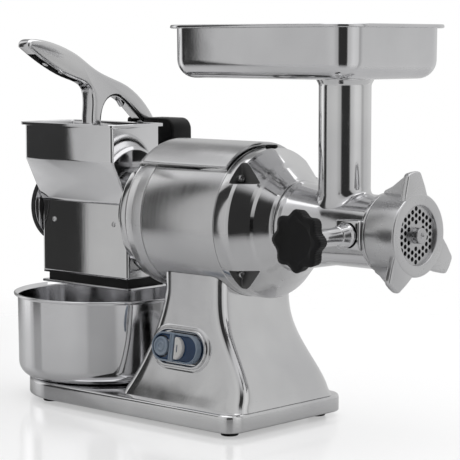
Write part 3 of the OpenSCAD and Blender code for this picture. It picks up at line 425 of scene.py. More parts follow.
def prism(outline, low, high, axis="z", bevel=1.0, steps=3):
    """An anticlockwise outline drawn out along an axis, its rims rounded by a quarter circle."""
    angles = np.linspace(0, math.pi / 2, steps + 1)
    rings = []
    for a in angles:
        rings.append(stand_up(offset(outline, bevel * (1 - math.sin(a))),
                              low + bevel * (1 - math.cos(a)), axis))
    for a in angles[::-1]:
        rings.append(stand_up(offset(outline, bevel * (1 - math.sin(a))),
                              high - bevel * (1 - math.cos(a)), axis))
    points, faces = grid(np.stack(rings))
    count = len(outline)
    faces.append(tuple(range(count)))
    faces.append(tuple(range(len(points) - 1, len(points) - 1 - count, -1)))
    return points, faces


def rectangle(x0, x1, y0, y1, radius, count=6):
    """Anticlockwise rectangle with rounded corners, the same number of points at each corner."""
    r = max(radius, 0.05)
    return np.concatenate([
        arc((x1 - r, y0 + r), r, -90, 0, count), arc((x1 - r, y1 - r), r, 0, 90, count),
        arc((x0 + r, y1 - r), r, 90, 180, count), arc((x0 + r, y0 + r), r, 180, 270, count),
    ])


def cuboid(low, high, bevel=1.0):
    """A block with rounded edges, from its lowest to its highest corner."""
    outline = rectangle(low[0], high[0], low[1], high[1], bevel, 4)
    return prism(outline, low[2], high[2], "z", min(bevel, (high[2] - low[2]) / 2.1))


def pill(length, height, inset=0.0, count=20):
    """Anticlockwise pill outline about the origin."""
    r = height / 2 - inset
    reach = (length - height) / 2
    return np.concatenate([arc((reach, 0), r, -90, 90, count), arc((-reach, 0), r, 90, 270, count)])


def moved(part, matrix):
    """A surface carried by a 4x4 matrix."""
    points, faces = part
    m = np.array(matrix)
    return points @ m[:3, :3].T + m[:3, 3], faces


# ---- pieces ----

def sharpen(mesh, angle=38):
    """Closes seams and poles, turns faces outwards and keeps edges sharper than the angle crisp."""
    b = bmesh.new()
    b.from_mesh(mesh)
    bmesh.ops.remove_doubles(b, verts=b.verts, dist=2e-6)
    bmesh.ops.dissolve_degenerate(b, edges=b.edges, dist=1e-6)
    bmesh.ops.recalc_face_normals(b, faces=b.faces)
    limit = math.radians(angle)
    for face in b.faces:
        face.smooth = True
    for edge in b.edges:
        edge.smooth = not (len(edge.link_faces) == 2 and edge.calc_face_angle(0) > limit)
    b.to_mesh(mesh)
    b.free()


def piece(name, parts, material, body="stand", stands_for=(), thickness=0.0, angle=38):
    """One Blender piece from surfaces, with its material; thickness gives a sheet its wall, inwards."""
    points, faces, start = [], [], 0
    for part_points, part_faces in parts:
        points.append(part_points)
        faces += [tuple(i + start for i in face) for face in part_faces]
        start += len(part_points)
    mesh = bpy.data.meshes.new(name)
    mesh.from_pydata(((np.concatenate(points) + SHIFT) * MM).tolist(), [], faces)
    mesh.materials.append(MATERIALS[material])
    made = bpy.data.objects.new(name, mesh)
    bpy.context.scene.collection.objects.link(made)
    sharpen(mesh, angle)
    if thickness:
        wall = made.modifiers.new("wall", "SOLIDIFY")
        wall.thickness = thickness * MM
        wall.offset = -1
        wall.use_even_offset = True
    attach(made, body)
    if stands_for:
        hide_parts(*stands_for)
    return made


def carve(made, cutters):
    """Cuts closed surfaces out of a piece and keeps the result as plain mesh."""
    for part, material in cutters:
        points, faces = part
        mesh = bpy.data.meshes.new("cutter")
        mesh.from_pydata(((points + SHIFT) * MM).tolist(), [], faces)
        mesh.materials.append(MATERIALS[material])
        cutter = bpy.data.objects.new("cutter", mesh)
        bpy.context.scene.collection.objects.link(cutter)
        sharpen(mesh)
        cut = made.modifiers.new("cut", "BOOLEAN")
        cut.operation = "DIFFERENCE"
        cut.solver = "MANIFOLD"
        cut.material_mode = "TRANSFER"
        cut.object = cutter
        result = bpy.data.meshes.new_from_object(made.evaluated_get(bpy.context.evaluated_depsgraph_get()))
        made.modifiers.clear()
        made.data = result
        bpy.data.objects.remove(cutter)
    sharpen(made.data)


def ease(t):
    """Smooth step from 0 to 1."""
    t = np.clip(t, 0, 1)
    return t * t * (3 - 2 * t)


def curve(a, b, c, d, count=9):
    """Points along a cubic curve from a to d, without d."""
    t = np.linspace(0, 1, count, endpoint=False)[:, None]
    a, b, c, d = (np.array(p, float) for p in (a, b, c, d))
    return (1 - t) ** 3 * a + 3 * (1 - t) ** 2 * t * b + 3 * (1 - t) * t * t * c + t ** 3 * d


# ---- base and column ----

BASE_TOP = 26.4
FOOT_LINE = BASE_TOP + 7
BARREL_R = (tube_high[2] - tube_low[2]) / 2
COLUMN_TOP_HALF = 61.5
FLARE_TOP = AXIS_Z - math.sqrt(BARREL_R ** 2 - COLUMN_TOP_HALF ** 2) - 21
SWITCH_X, SWITCH_Z = -15, 86
SWITCH_TILT = math.radians(8)


def column_sides(z):
    """Left, right and half depth of the column at heights z: straight above, flared to its foot,
    with a short steep skirt that spreads under the foot line."""
    t = np.clip((FLARE_TOP - z) / (FLARE_TOP - FOOT_LINE), 0, 1)
    skirt = 3 * np.clip((FOOT_LINE - z) / (FOOT_LINE - BASE_TOP), 0, 1)
    left = 49.5 + 47.5 * t ** 1.3 + skirt
    right = 42.5 + 46 * ease(t) ** 1.5 + skirt
    half = COLUMN_TOP_HALF + 16.5 * t ** 3 + skirt
    return left, right, half


def column_shell():
    """Rows go up the column and columns of the grid go round it. A point's height is a share of
    the way from the base to the saddle under the barrel, which depends on how far out it stands."""
    radius, side_points = 13, np.linspace(-1, 1, 17)[1:-1]
    ring = []  # sign across x, sign across y, corner part in x and in y
    for start, end_sign in ((-90, (1, -1)), (0, (1, 1)), (90, (-1, 1)), (180, (-1, -1))):
        for a in np.radians(np.linspace(start, start + 90, 7)):
            ring.append((*end_sign, math.cos(a) - end_sign[0], math.sin(a) - end_sign[1]))
        for s in side_points:
            if start == -90:
                ring.append((1, s, 0, 0))
            elif start == 0:
                ring.append((-s, 1, 0, 0))
            elif start == 90:
                ring.append((-1, -s, 0, 0))
            else:
                ring.append((s, -1, 0, 0))
    sx, sy, cx, cy = np.array(ring).T

    def at(z, shrink=1.0):
        left, right, half = column_sides(z)
        straight = 1 - radius / half
        sy_used = np.where(np.abs(sy) < 1, sy * straight, sy)
        middle, width = (right - left) / 2, (right + left) / 2
        sx_used = np.where(np.abs(sx) < 1, sx * (1 - radius / width), sx)
        x = middle + (sx_used * width + cx * radius) * shrink
        y = (sy_used * half + cy * radius) * shrink
        return x, y

    def saddle(y):
        return AXIS_Z - np.sqrt(np.maximum((BARREL_R + 0.3) ** 2 - y ** 2, 1))

    shares = np.concatenate([[0, 0.02], np.linspace(0.05, 1, 40)])
    rows = []
    for share in shares:
        z = np.full(len(sx), 100.0)
        for _ in range(8):
            _, y = at(z)
            z = BASE_TOP - 0.2 + share * (saddle(y) - BASE_TOP + 0.2)
        x, y = at(z)
        rows.append(np.stack([x, y, z], axis=1))
    for shrink in (0.9, 0.6, 0.3, 0.02):
        x, y = at(rows[len(shares) - 1][:, 2], shrink)
        rows.append(np.stack([x, y, saddle(y) - 0.4], axis=1))
    bottom = rows[0] * np.array([0.02, 0.02, 1])
    return grid(np.stack([bottom] + rows))


def base_slab():
    """Outline with a half circle at the left and round corners at the right, drawn in as it rises."""
    low, high = span("base_column")
    radius, right, corner = 98, high[0], 21
    centre_x = low[0] + radius

    def ring(inset, z):
        r, c = radius - inset, max(corner - inset, 0.4)
        outline = np.concatenate([
            arc((centre_x, 0), r, 90, 270, 49),
            arc((right - inset - c, -r + c), c, 270, 360, 10),
            arc((right - inset - c, r - c), c, 0, 90, 10),
        ])
        return stand_up(outline, z, "z")

    line = rounded([(97, 6), (0, 6, 2), (0, BASE_TOP, 4.5), (97, BASE_TOP)], steps=6)
    return grid(np.stack([ring(inset, z) for inset, z in line]))


def switch_frame():
    """Stands on the column's sloping front, facing out."""
    _, _, half = column_sides(np.array(SWITCH_Z))
    lean = Matrix.Rotation(math.pi / 2 - SWITCH_TILT, 4, "X")
    return Matrix.Translation((SWITCH_X, -float(half) - 2, SWITCH_Z)) @ lean


def ring_on_pill(line, length=84, height=46):
    """A closed line of (inset, height) carried round a pill outline."""
    rings = [stand_up(pill(length, height, inset), z, "z") for inset, z in line]
    return grid(np.stack(rings), wrap_rows=True)


def make_base():
    """Base, column, the switch's seat and the feet."""
    piece("base_casting", [base_slab(), column_shell()], "polished_casting",
          stands_for=["base_column"])
    place = switch_frame()
    seat = ring_on_pill(rounded([(-4, -9), (-4, -1.5, 1.5), (-1, 0.4, 1), (4.5, 0.4, 1), (5, -9)],
                                closed=True))
    bezel = ring_on_pill(rounded([(0.6, 0), (0.6, 3.2, 1.4), (4.2, 3.2, 1.4), (5.4, -5, 1), (5.4, -8),
                                  (4, -8)], closed=True))
    # black plate at the bottom of the switch's hollow: painted shadow in the recess, not a part
    recess = prism(pill(84, 46, 5), -6, -4.5, "z", 0.2)
    piece("switch_rim", [moved(seat, place), moved(bezel, place)], "polished_casting",
          stands_for=["switch_bezel"])
    piece("switch_hollow_painted_shadow", [moved(recess, place)], "black_plastic")
    make_switch(place)
    feet = []
    foot_low, foot_high = span("rubber_feet")
    for x in (foot_low[0] + 11, foot_high[0] - 11):
        for y in (foot_low[1] + 11, foot_high[1] - 11):
            feet.append(lathe([(0, 3), (0, 9.5, 1.2), (6.1, 11, 0.6), (6.1, 3)], "z", (x, y), 40))
    piece("foot_pads", feet, "black_rubber", stands_for=["rubber_feet"])


def make_switch(place):
    """Raised blue block with a cloudy guard, a round embossed key and a half-round white key."""
    body = prism(pill(69, 31), -9, 9, "z", 2.5)
    block = piece("switch_body", [moved(body, place)], "switch_blue", stands_for=["switch_block"])
    key_well = lathe([(-3, 0), (-3, 12.9), (14, 12.9), (14, 0)], "z", (-20, 0), 48, closed=False)
    carve(block, [(moved(key_well, place), "switch_blue")])
    guard_line = rounded([(0, 3), (0, 10.5, 1.5), (2.2, 10.5, 1), (2.2, 8), (1, 7)], closed=True)
    guard = ring_on_pill(guard_line, 71, 33)
    ribs = [cuboid((-3, -15.4, 8), (0.5, 15.4, 13), 1), cuboid((-7.2, -15.4, 8), (-4.2, 15.4, 11.6), 1)]
    piece("switch_guard", [moved(p, place) for p in (guard, *ribs)], "switch_grey")
    key = lathe([(8, 0), (8, 10.8), (11.6, 10.8, 0.8), (12.2, 8.6, 0.6), (11, 7.6, 0.6), (11, 6, 0.4),
                 (12.2, 5.2, 0.5), (12.2, 3.4, 0.5), (11.2, 2.6, 0.4), (11.2, 0)], "z", (-20, 0), 48,
                closed=False)
    piece("start_key_cap", [moved(key, place)], "switch_grey", "start_key", ["start_button"])
    half_round = np.concatenate([arc((2, 0), 13.4, -70, 70, 24), [[3.2, 12.6], [3.2, -12.6]]])
    white = prism(rounded([(*p, 1.2) for p in half_round], closed=True, steps=1), 8, 14, "z", 1.2)
    mark = cuboid((7.4, -4.2, 13.7), (8.6, 4.2, 14.25), 0.25)
    piece("stop_key_cap", [moved(white, place)], "button_white", "stop_key", ["stop_button"])
    piece("stop_key_mark", [moved(mark, place)], "switch_blue", "stop_key")


# ---- motor ----

def make_motor():
    """Barrel, end castings and gear housing, all turned about the motor's axis."""
    z = (0, AXIS_Z)
    sleeve = [(-59.3, 80), (-59.3, BARREL_R, 1), (51.8, BARREL_R, 1), (51.8, 80)]
    piece("barrel_sleeve", [lathe(sleeve, centre=z, segments=160)], "turned_barrel",
          stands_for=["barrel_tube"])
    cap = [(-60.2, 20), (-60.2, BARREL_R - 0.2, 1), (-74, BARREL_R - 0.2, 12), (-86, 81.6, 5),
           (-92, 75.5, 2.5), (-92, 20)]
    piece("grater_end_casting", [lathe(cap, centre=z, segments=160)], "satin_casting",
          stands_for=["grater_end_cap"])
    flange = [(-92.6, 20), (-92.6, 76.4, 1.2), (-101.5, 76.4, 2), (-106, 72.5, 1.5), (-106, 20)]
    neck = [(-105, 20), (-105, 51), (-131.3, 51, 1.2), (-131.3, 20)]
    piece("grater_neck_casting", [lathe(flange, centre=z, segments=160), lathe(neck, centre=z)],
          "polished_casting", stands_for=["grater_neck"])
    bell = [(52.2, 30), (52.2, BARREL_R, 1), (69.5, BARREL_R, 1.6), (73, 82.2, 1.5), (87.4, 69, 2),
            (90, 66.2, 1.2), (92.5, 63, 2), (101.5, 55.2, 3), (105, 52, 1.4), (108.6, 50, 1),
            (108.6, 30)]
    housing = piece("gear_housing_casting", [lathe(bell, centre=z, segments=192)], "polished_casting",
                    stands_for=["gear_housing"])
    side, reach = 47.5, 60
    # the pockets are cut with the near-black recess metal, whose dark tone is painted shade inside them
    pockets = []
    for sy in (-1, 1):
        for sz in (-1, 1):
            y = sorted((sy * side, sy * (side + reach)))
            h = sorted((AXIS_Z + sz * side, AXIS_Z + sz * (side + reach)))
            pockets.append((cuboid((62, y[0], h[0]), (120, y[1], h[1]), 1.5), "rough_recess_painted_shade"))
    carve(housing, pockets)
    rim = housing.modifiers.new("edge_round", "BEVEL")
    rim.width, rim.segments, rim.limit_method, rim.angle_limit = 0.7 * MM, 2, "ANGLE", math.radians(35)
    heads = []
    head = [(61.5, 0), (61.5, 4.3), (67, 4.3, 1), (67, 2.4, 0.3), (64.5, 2.2), (64.5, 0)]
    for sy in (-1, 1):
        for sz in (-1, 1):
            centre = (sy * 52.3, AXIS_Z + sz * 52.3)
            heads.append(lathe(head, centre=centre, segments=32, closed=False))
    piece("pocket_screws", heads, "machine_steel", stands_for=["tie_screws"])
    make_cowl()
    low, high = span("breather_plug")
    middle = ((low[0] + high[0]) / 2, (low[1] + high[1]) / 2)
    top = high[2]
    plug = [(top - 18, 0), (top - 18, 5), (top - 3, 5), (top - 3, 7, 0.5), (top, 6.6, 1), (top, 0)]
    piece("oil_plug", [lathe(plug, "z", middle, 32, closed=False)], "black_plastic",
          stands_for=["breather_plug"])


def make_cowl():
    """Sheet cover over the barrel's top. Across, it is an arc with turned-down sides; along, its
    left end comes down in a quarter round. The sides stand clear of the barrel towards the right."""
    low, high = span("vent_cowl")
    x = np.concatenate([low[0] + 9 * (1 - np.cos(np.linspace(0, math.pi / 2, 10))),
                        np.linspace(low[0] + 10, high[0] - 0.8, 30), [high[0] - 0.2, high[0]]])
    rise = (high[2] - AXIS_Z - BARREL_R) - 0.1
    left_round = np.sqrt(np.clip(1 - ((low[0] + 9 - x) / 9).clip(0) ** 2, 0, 1))
    height = 0.4 + (rise - 0.4) * left_round
    height[-2:] = (rise - 0.6, 1.0)
    gap = 0.3 + 3.4 * np.clip((x + 60) / 110, 0, 1)
    half_angle = math.radians(43.2)
    turn = np.linspace(-half_angle, half_angle, 61)
    rows = []
    for k in range(len(x)):
        outer = BARREL_R + height[k]
        edge = min(BARREL_R + gap[k], outer - 0.2)
        radii = np.concatenate([[edge, outer - 1.2, outer - 0.3], np.full(len(turn), outer),
                                [outer - 0.3, outer - 1.2, edge]])
        spill = math.radians(0.9)
        angles = np.concatenate([[-half_angle - spill] * 2, [-half_angle - spill * 0.7], turn,
                                 [half_angle + spill * 0.7], [half_angle + spill] * 2])
        rows.append(np.stack([np.full(len(radii), x[k]), radii * np.sin(angles),
                              AXIS_Z + radii * np.cos(angles)], axis=1))
    piece("cowl_sheet", [grid(np.stack(rows), wrap_columns=False)], "turned_barrel",
          stands_for=["vent_cowl"], thickness=1.4)


# ---- mincer ----

FEED_X = 167.5
TUBE_R = 28.2
MINCER_R = 39.5


def tube_fillet():
    """Blend between the feed tube and the barrel: for each bearing round the tube, a curve that
    leaves the tube straight down and meets the barrel's own surface a fillet's width further out."""
    width = 9.0
    bearing = np.linspace(0, 2 * math.pi, 96, endpoint=False)
    y0 = TUBE_R * np.sin(bearing)
    top_z = AXIS_Z + np.sqrt(MINCER_R ** 2 - y0 ** 2)
    y1 = (TUBE_R + width) * np.sin(bearing)
    end_z = AXIS_Z + np.sqrt(MINCER_R ** 2 - y1 ** 2)
    rows = []
    for t in np.linspace(0, 1, 9):
        a, b, c = (1 - t) ** 2, 2 * t * (1 - t), t * t
        r = TUBE_R + width * c
        z = a * (top_z + width) + b * top_z + c * end_z
        rows.append(np.stack([FEED_X + r * np.cos(bearing), r * np.sin(bearing), z], axis=1))
    return grid(np.stack(rows))


def make_mincer():
    """Casting with its feed tube and the knob's boss, then the screw, nut and knob that fit it."""
    z = (0, AXIS_Z)
    low, high = span("mincer_body")
    top = high[2]
    x1 = high[0]
    flange = x1 - 34
    barrel = [(109.2, 25), (109.2, 49.5, 2.5), (113, 49.5, 2), (117, 47, 6), (160, MINCER_R, 60),
              (flange - 5, MINCER_R, 1), (flange - 5, MINCER_R + 3, 1), (flange, MINCER_R + 3, 1),
              (flange, MINCER_R, 0.5), (x1, MINCER_R, 0.8), (x1, 35.4), (125, 35.4), (125, 25)]
    tube = [(AXIS_Z + 24, TUBE_R), (top - 7, TUBE_R, 8), (top - 1, TUBE_R + 3.2, 1),
            (top, TUBE_R + 3.2, 0.6), (top, TUBE_R - 2), (AXIS_Z + 24, TUBE_R - 2)]
    knob_low, knob_high = span("star_knob")
    knob_x = (knob_low[0] + knob_high[0]) / 2
    boss = cuboid((knob_x - 16, low[1], AXIS_Z - 16), (knob_x + 16, -30, AXIS_Z + 16), 2.6)
    boss_collar = lathe([(low[1] + 1, 10), (low[1] + 1, 14.6, 0.8), (low[1], 14.6, 0.4), (low[1], 10)],
                        "y", (knob_x, AXIS_Z), 48)
    parts = [lathe(barrel, centre=z, segments=128), lathe(tube, "z", (FEED_X, 0), 128), tube_fillet(),
             boss, boss_collar]
    piece("mincer_casting", parts, "polished_casting", stands_for=["mincer_body"])
    make_feed_screw()
    make_nut()
    make_knob(knob_x, low[1])


def make_feed_screw():
    """Core with one flight: the radius is the core's, plus a steep swell at the flight's bearing,
    which turns steadily along the shaft. The front stud has a chamfer and a centre dimple."""
    low, high = span("auger")
    x = np.linspace(low[0] + 30, high[0] - 27, 130)
    a = np.linspace(0, 2 * math.pi, 72, endpoint=False)
    turn = -2.6 * 2 * math.pi * (x - x[0]) / (x[-1] - x[0])
    swell = np.clip(np.cos(a[None] - turn[:, None]), 0, 1) ** 4
    radius = 15 + 19.2 * swell
    rows = np.stack([np.repeat(x[:, None], len(a), axis=1), radius * np.cos(a),
                     AXIS_Z + radius * np.sin(a)], axis=2)
    core_end = [(x[0] - 6, 0), (x[0] - 6, 11), (x[0] + 2, 11), (x[0] + 2, 0)]
    end = high[0]
    stud = [(x[-1] - 3, 0), (x[-1] - 3, 8.45), (end, 8.45, 1), (end, 3.2, 0.4), (end - 3.2, 0.01)]
    parts = [grid(rows)]
    parts += [lathe(line, centre=(0, AXIS_Z), segments=48, closed=False) for line in (core_end, stud)]
    piece("feed_screw_casting", parts, "machine_steel", "feed_screw", ["auger"])


def make_nut():
    """Ring with three wings: a flat tab at each wing's front and a web that sweeps back along the ring."""
    low, high = span("ring_nut")
    x0, x1 = low[0], high[0]
    ring = [(x0, 39.9), (x0, 44, 1.6), (x1, 44, 2.6), (x1, 31.6, 1.4), (x1 - 4.2, 31.6),
            (x1 - 4.2, 39.9)]
    parts = [lathe(ring, centre=(0, AXIS_Z), segments=128)]
    tab = rounded([(-20, 38), (20, 38), (16.5, 50, 9), (10.2, 66.4, 6), (0, 67, 3), (-10.2, 66.4, 6),
                   (-16.5, 50, 9)], closed=True)
    web = rounded([(x0 + 1, 40), (x1 - 4, 40), (x1 - 4, 62, 3), (x1 - 8, 62, 3), (x0 + 12, 49, 12),
                   (x0 + 1, 44, 3)], closed=True)
    for bearing in (6, -123, 142):
        carry = Matrix.Translation((0, 0, AXIS_Z)) @ Matrix.Rotation(math.radians(bearing), 4, "X")
        parts.append(moved(prism(tab, x1 - 8.6, x1 - 0.6, "x", 2.4), carry))
        parts.append(moved(prism(web[::-1], -4.5, 4.5, "y", 2.4), carry))
    piece("ring_nut_casting", parts, "satin_casting", "nut", ["ring_nut"])


def make_knob(knob_x, boss_y):
    """Eight-lobed knob: the rim's radius swells and sinks eight times round, with grip ribs on it."""
    low, high = span("star_knob")
    centre = (knob_x, AXIS_Z)
    line = rounded([(high[1], 0), (high[1], 22, 2), (high[1] - 1.5, 31, 2.5), (low[1] + 1.5, 33, 2.5),
                    (low[1], 27, 3), (low[1] + 1.2, 20, 3), (low[1] + 1.2, 0)], steps=6)
    a = np.linspace(0, 2 * math.pi, 288, endpoint=False)
    lobes = (1 + np.cos(8 * a)) / 2
    rim = ease((line[:, 1:] - 19) / 8)
    ribs = 0.5 * (np.cos(72 * a) > 0.2) * (line[:, 1:] > 29)
    radius = line[:, 1:] * (1 - 0.15 * (1 - lobes) * rim) - ribs
    points = np.stack([knob_x + radius * np.cos(a), np.repeat(line[:, :1], len(a), axis=1),
                       AXIS_Z + radius * np.sin(a)], axis=2)
    piece("star_grip", [grid(points)], "black_plastic", "knob", ["star_knob"])
    stem = [(boss_y + 3, 0), (boss_y + 3, 6), (boss_y - 0.4, 6), (boss_y - 0.4, 13, 0.6),
            (boss_y - 4, 13, 0.8), (boss_y - 6, 11.4, 0.8), (boss_y - 16, 10.4, 1),
            (boss_y - 17, 9.4, 0.5), (high[1] + 0.2, 9.4, 0.3), (high[1] + 0.2, 0)]
    piece("knob_ferrule", [lathe(stem, "y", centre, 64, closed=False)], "polished_steel", "knob",
          ["clamp_screw"])


# ---- tray and bowl ----

def make_tray():
    """Sheet from the tube's collar, out over the floor, up the walls and over the turned-down lip.
    Near the collar the rings are circles; they turn into the tray's rounded rectangle."""
    low, high = span("feed_tray")
    lip = 9
    x0, x1, y0, y1 = low[0] + lip, high[0] - lip, low[1] + lip, high[1] - lip
    floor_z, rim_z = low[2] + 16 + 0.2, high[2]
    bore = 25.9
    count = 12

    def box_ring(inset, z):
        return stand_up(rectangle(x0 + inset, x1 - inset, y0 + inset, y1 - inset, max(27 - inset, 6),
                                  count), z, "z")

    wall = rounded([(40, floor_z), (0.6, floor_z, 19), (0, rim_z - 1.4, 2.6), (-lip + 0.8, rim_z, 1.6),
                    (-lip, rim_z - 3.4, 1.0), (-lip + 1.6, rim_z - 4.2)], steps=8)
    outer = [box_ring(inset, z) for inset, z in wall]
    reference = outer[0][:, :2] - np.array([FEED_X, 0])
    bearing = np.arctan2(reference[:, 1], reference[:, 0])
    circle = np.array([FEED_X, 0]) + bore * np.stack([np.cos(bearing), np.sin(bearing)], axis=1)
    inner = [stand_up(circle, low[2] + 0.5, "z"), stand_up(circle, floor_z - 2, "z")]
    for share in (0.02, 0.1, 0.3, 0.6, 0.85):
        mixed = circle * (1 - share) + outer[0][:, :2] * share
        inner.append(stand_up(mixed, floor_z, "z"))
    piece("tray_sheet", [grid(np.stack(inner + outer))], "polished_steel", "tray", ["feed_tray"],
          thickness=1.2)


def make_bowl():
    """Turned sheet with a rounded bottom corner and a rolled rim."""
    low, high = span("catch_bowl")
    centre = ((low[0] + high[0]) / 2, (low[1] + high[1]) / 2)
    rim = (high[0] - low[0]) / 2
    z0, z1 = low[2] + 0.1, high[2]
    line = [(z0, 0), (z0, rim - 7, 17), (z1 - 4.5, rim - 6, 3), (z1 - 0.4, rim - 2.2, 1.4),
            (z1 - 1.4, rim - 0.1, 1.2), (z1 - 4, rim - 0.6, 1), (z1 - 4.2, rim - 2.4)]
    piece("bowl_sheet", [lathe(line, "z", centre, 160, closed=False, steps=8)], "polished_steel",
          "bowl", ["catch_bowl"], thickness=1.1)


# ---- grater ----

HOPPER_FRONT, HOPPER_BACK = -60.4, 16.2
HOUSING_HALF = 36


def make_grater():
    """Hopper and chute are bent sheets: rounded rectangles stacked from the rim down."""
    low, high = span("drum_housing")
    x0, x1 = low[0], high[0]
    rim = span("hopper")[1][2]
    crease, shoulder, waist = rim - 44, 264, high[2] + 3

    def ring(front, back, z, grow=0.0, corner=3.0):
        return stand_up(rectangle(x0 - grow, x1 + grow, front - grow, back + grow, corner, 5), z, "z")

    slope = (crease - shoulder) / (crease - waist)
    mid_front = HOPPER_FRONT + slope * (-HOUSING_HALF - HOPPER_FRONT)
    # height, how far out it stands, corner radius: from the lip's turned edge down to the crease
    box = [(rim - 3.2, 4.6, 5), (rim - 3.6, 5.9, 6), (rim - 0.6, 5.9, 6), (rim, 5.3, 5.5),
           (rim - 0.3, 1.2, 4), (rim - 1.5, 0.2, 3), (rim - 6, 0, 3), (crease + 1.2, 0, 3)]
    rows = [ring(HOPPER_FRONT, HOPPER_BACK, *level) for level in box]
    rows += [ring(HOPPER_FRONT + 0.3, HOPPER_BACK, crease - 0.6), ring(mid_front, HOPPER_BACK, shoulder),
             ring(-HOUSING_HALF, HOUSING_HALF, waist), ring(-HOUSING_HALF, HOUSING_HALF, high[2] + 0.2)]
    piece("hopper_sheet", [grid(np.stack(rows))], "polished_steel", stands_for=["hopper"],
          thickness=1.4)
    heights = (high[2], high[2] - 2, low[2] + 2, low[2])
    body = [ring(-HOUSING_HALF, HOUSING_HALF, z, 0, 4.5) for z in heights]
    piece("chute_sheet", [grid(np.stack(body))], "brushed_steel", stands_for=["drum_housing"],
          thickness=1.5)
    screws = []
    for x in (x1 - 22.5, x0 + 22.5):
        for side in (-1, 1):
            y = side * HOUSING_HALF
            head = [(y, 0), (y, 3.2), (y + side * 1.5, 2.4, 0.8), (y + side * 1.6, 0)]
            screws.append(lathe(head, "y", (x, high[2] - 24), 24, closed=False))
    piece("chute_screws", screws, "machine_steel", stands_for=["housing_screws"])
    make_grille()
    make_end_cover()
    make_lever()
    make_hinge()


def make_grille():
    """Frame with round bars along the drum, under the chute."""
    low, high = span("safety_grille")
    z0, z1 = low[2], high[2]
    frame_bars = [cuboid((low[0], y, z0), (high[0], y + 7, z1), 0.9) for y in (low[1], high[1] - 7)]
    frame_bars += [cuboid((x, low[1], z0), (x + 4, high[1], z1), 0.9) for x in (low[0], high[0] - 4)]
    bar = [(low[0] + 2, 0), (low[0] + 2, 1.3), (high[0] - 2, 1.3), (high[0] - 2, 0)]
    bars = [lathe(bar, "x", (y, (z0 + z1) / 2), 16, closed=False)
            for y in np.linspace(low[1] + 8, high[1] - 8, 9)[1:-1]]
    piece("grille_bars", frame_bars + bars, "polished_steel", stands_for=["safety_grille"])


def make_end_cover():
    """Dished disc with a black bar and a spigot that enters the housing."""
    low, high = span("drum_cover")
    x0 = low[0]
    disc = [(x0 + 6, 0), (x0 + 6, 44.8, 0.5), (x0 + 0.6, 44.8, 1), (x0, 41, 1.5), (x0 + 1.4, 38, 1.5),
            (x0 + 1.4, 0)]
    spigot = [(x0 + 5, 29.5), (x0 + 5, 33.4), (high[0], 33.4, 0.5), (high[0], 29.5, 0.5)]
    z = (0, AXIS_Z)
    parts = [lathe(disc, centre=z, segments=128, closed=False), lathe(spigot, centre=z, segments=96)]
    piece("end_cover_disc", parts, "polished_steel", "end_cover", ["drum_cover"])
    grip_low, grip_high = span("cover_grip")
    piece("end_cover_grip", [cuboid(grip_low, grip_high + np.array([1.2, 0, 0]), 2.2)], "black_plastic",
          "end_cover", ["cover_grip"])


def lever_side():
    """Side outline of the lever in (y, z), from the hinge over the grip, down the leg and under the arch."""
    return np.concatenate([
        curve((78, 324), (70, 345), (45, 370), (20.3, 379.2)),
        curve((20.3, 379.2), (6, 384.5), (-10, 389), (-22.5, 395.3)),
        curve((-22.5, 395.3), (-35, 401.5), (-45, 410), (-57.6, 415.7)),
        curve((-57.6, 415.7), (-80, 426), (-105, 432.3), (-122.6, 431.8)),
        curve((-122.6, 431.8), (-129, 431.5), (-131.6, 428), (-131.5, 422.8), 6),
        curve((-131.5, 422.8), (-115, 411), (-90, 396), (-66, 387.5)),
        curve((-66, 387.5), (-52, 383), (-39, 381), (-34, 372)),
        curve((-34, 372), (-30, 362), (-31.5, 350), (-34, 332.4), 6),
        [[-33, 300], [-30.5, 268], [-15.5, 268], [-16, 300]],
        curve((-16.6, 331.8), (-15.8, 352), (-8, 363.5), (6.8, 363.7)),
        curve((6.8, 363.7), (20, 363.5), (36, 346), (54, 331)),
        arc((66.2, 322), 12, 140, 350, 14),
    ])


def make_lever():
    """Cast lever, hollow under its grip, with small bosses."""
    low, high = span("press_lever")
    x = (low[0] + high[0]) / 2
    half = 10.5
    side = lever_side()
    body = prism(side, x - half, x + half, "x", 4.5, 5)
    lever = piece("lever_casting", [body], "polished_casting", "press", ["press_lever"],
                  angle=50)
    # the grip's underside is hollow, with two bosses in it
    hollow_side = np.array([[-121, 404], [-118, 421], [-100, 420], [-70, 407], [-48, 396], [-44, 389],
                            [-52, 376], [-90, 385]])
    hollow = prism(hollow_side[::-1], x - half + 3.2, x + half - 3.2, "x", 0.4)
    # the hollow takes the near-black recess metal: painted shade under the grip
    carve(lever, [(hollow, "rough_recess_painted_shade")])
    rim = lever.modifiers.new("edge_round", "BEVEL")
    rim.width, rim.segments, rim.limit_method, rim.angle_limit = 0.6 * MM, 2, "ANGLE", math.radians(40)
    bosses = []
    boss = lathe([(-3, 0), (-3, 3.6, 0.8), (14, 4.2), (14, 0)], "z", (0, 0), 24, closed=False)
    for y, z in ((-96, 404.5), (-72, 395)):
        carry = Matrix.Translation((x, y, z)) @ Matrix.Rotation(math.radians(-28), 4, "X")
        bosses.append(moved(boss, carry))
    nub = lathe([(-5, 0), (-5, 3.4, 1), (6, 3.8), (6, 0)], "z", (0, 0), 24, closed=False)
    carry = Matrix.Translation((x, 23, 356)) @ Matrix.Rotation(math.radians(35), 4, "X")
    bosses.append(moved(nub, carry))
    piece("lever_bosses", bosses, "polished_casting", "press")


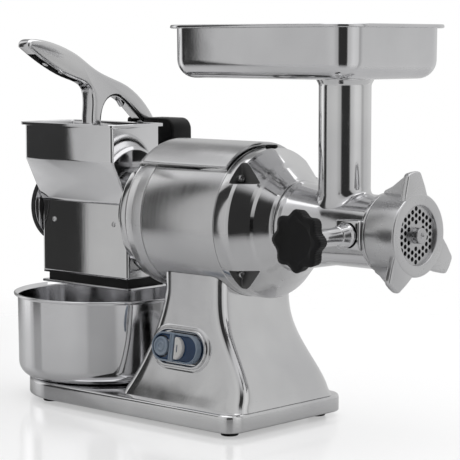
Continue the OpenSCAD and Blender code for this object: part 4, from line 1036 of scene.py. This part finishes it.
def make_hinge():
    """Black housing behind the hopper: two cheeks, a floor under the slot and a foot."""
    low, high = span("hinge_housing")
    lever_low, lever_high = span("press_lever")
    x = (lever_low[0] + lever_high[0]) / 2
    slot = 10.9
    y0, y1 = 52.2, high[1]
    z0, z1 = 300, high[2]
    outline = rounded([(x + slot, z0), (high[0], z0, 2), (high[0], z1, 14), (x + slot, z1, 3)],
                      closed=True, steps=8)
    cheek = prism(outline, y0, y1, "y", 2.2)
    left = rounded([(low[0], z0), (x - slot, z0), (x - slot, z1, 2), (low[0], z1, 6)], closed=True,
                   steps=6)
    parts = [cheek, prism(left, y0, y1, "y", 2.0),
             cuboid((low[0] + 1, y0 + 1, z0), (high[0] - 4, y1 - 1, z0 + 5.6), 1),
             cuboid((low[0] + 4, HOPPER_BACK + 0.2, low[2]), (high[0] - 4, y1 - 4, z0 + 1), 2)]
    piece("hinge_cover", parts, "black_plastic", stands_for=["hinge_housing"])


# ---- CAD nodes that stay, with their finishes ----

KEPT_FINISH = {
    "base_cover": "brushed_steel", "cover_screws": "machine_steel", "control_board": "circuit_green",
    "run_capacitor": "capacitor_grey", "cable_gland": "black_plastic", "stator": "lamination_steel",
    "rotor_core": "lamination_steel", "motor_shaft": "machine_steel", "cooling_fan": "black_plastic",
    "motor_bearings": "machine_steel", "gear_plate": "satin_casting", "motor_pinion": "gear_steel",
    "intermediate_wheel": "gear_steel", "layshaft_pinion": "gear_steel", "output_wheel": "gear_steel",
    "gear_bearings": "machine_steel", "outlet_collar": "black_plastic", "grating_drum": "brushed_steel",
    "cover_seal": "black_rubber", "hinge_pin": "machine_steel", "press_plate": "polished_casting",
    "cutter_knife": "machine_steel", "hole_plate": "machine_steel", "clamp_pad": "brass",
}


def finish_kept_nodes():
    """Gives the frame's own pieces their finishes; their shapes stay as they are."""
    for node, material in KEPT_FINISH.items():
        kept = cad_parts[node]
        kept.data.materials.clear()
        kept.data.materials.append(MATERIALS[material])


make_camera()
make_materials()
make_studio()
make_base()
make_motor()
make_mincer()
make_tray()
make_bowl()
make_grater()
finish_kept_nodes()
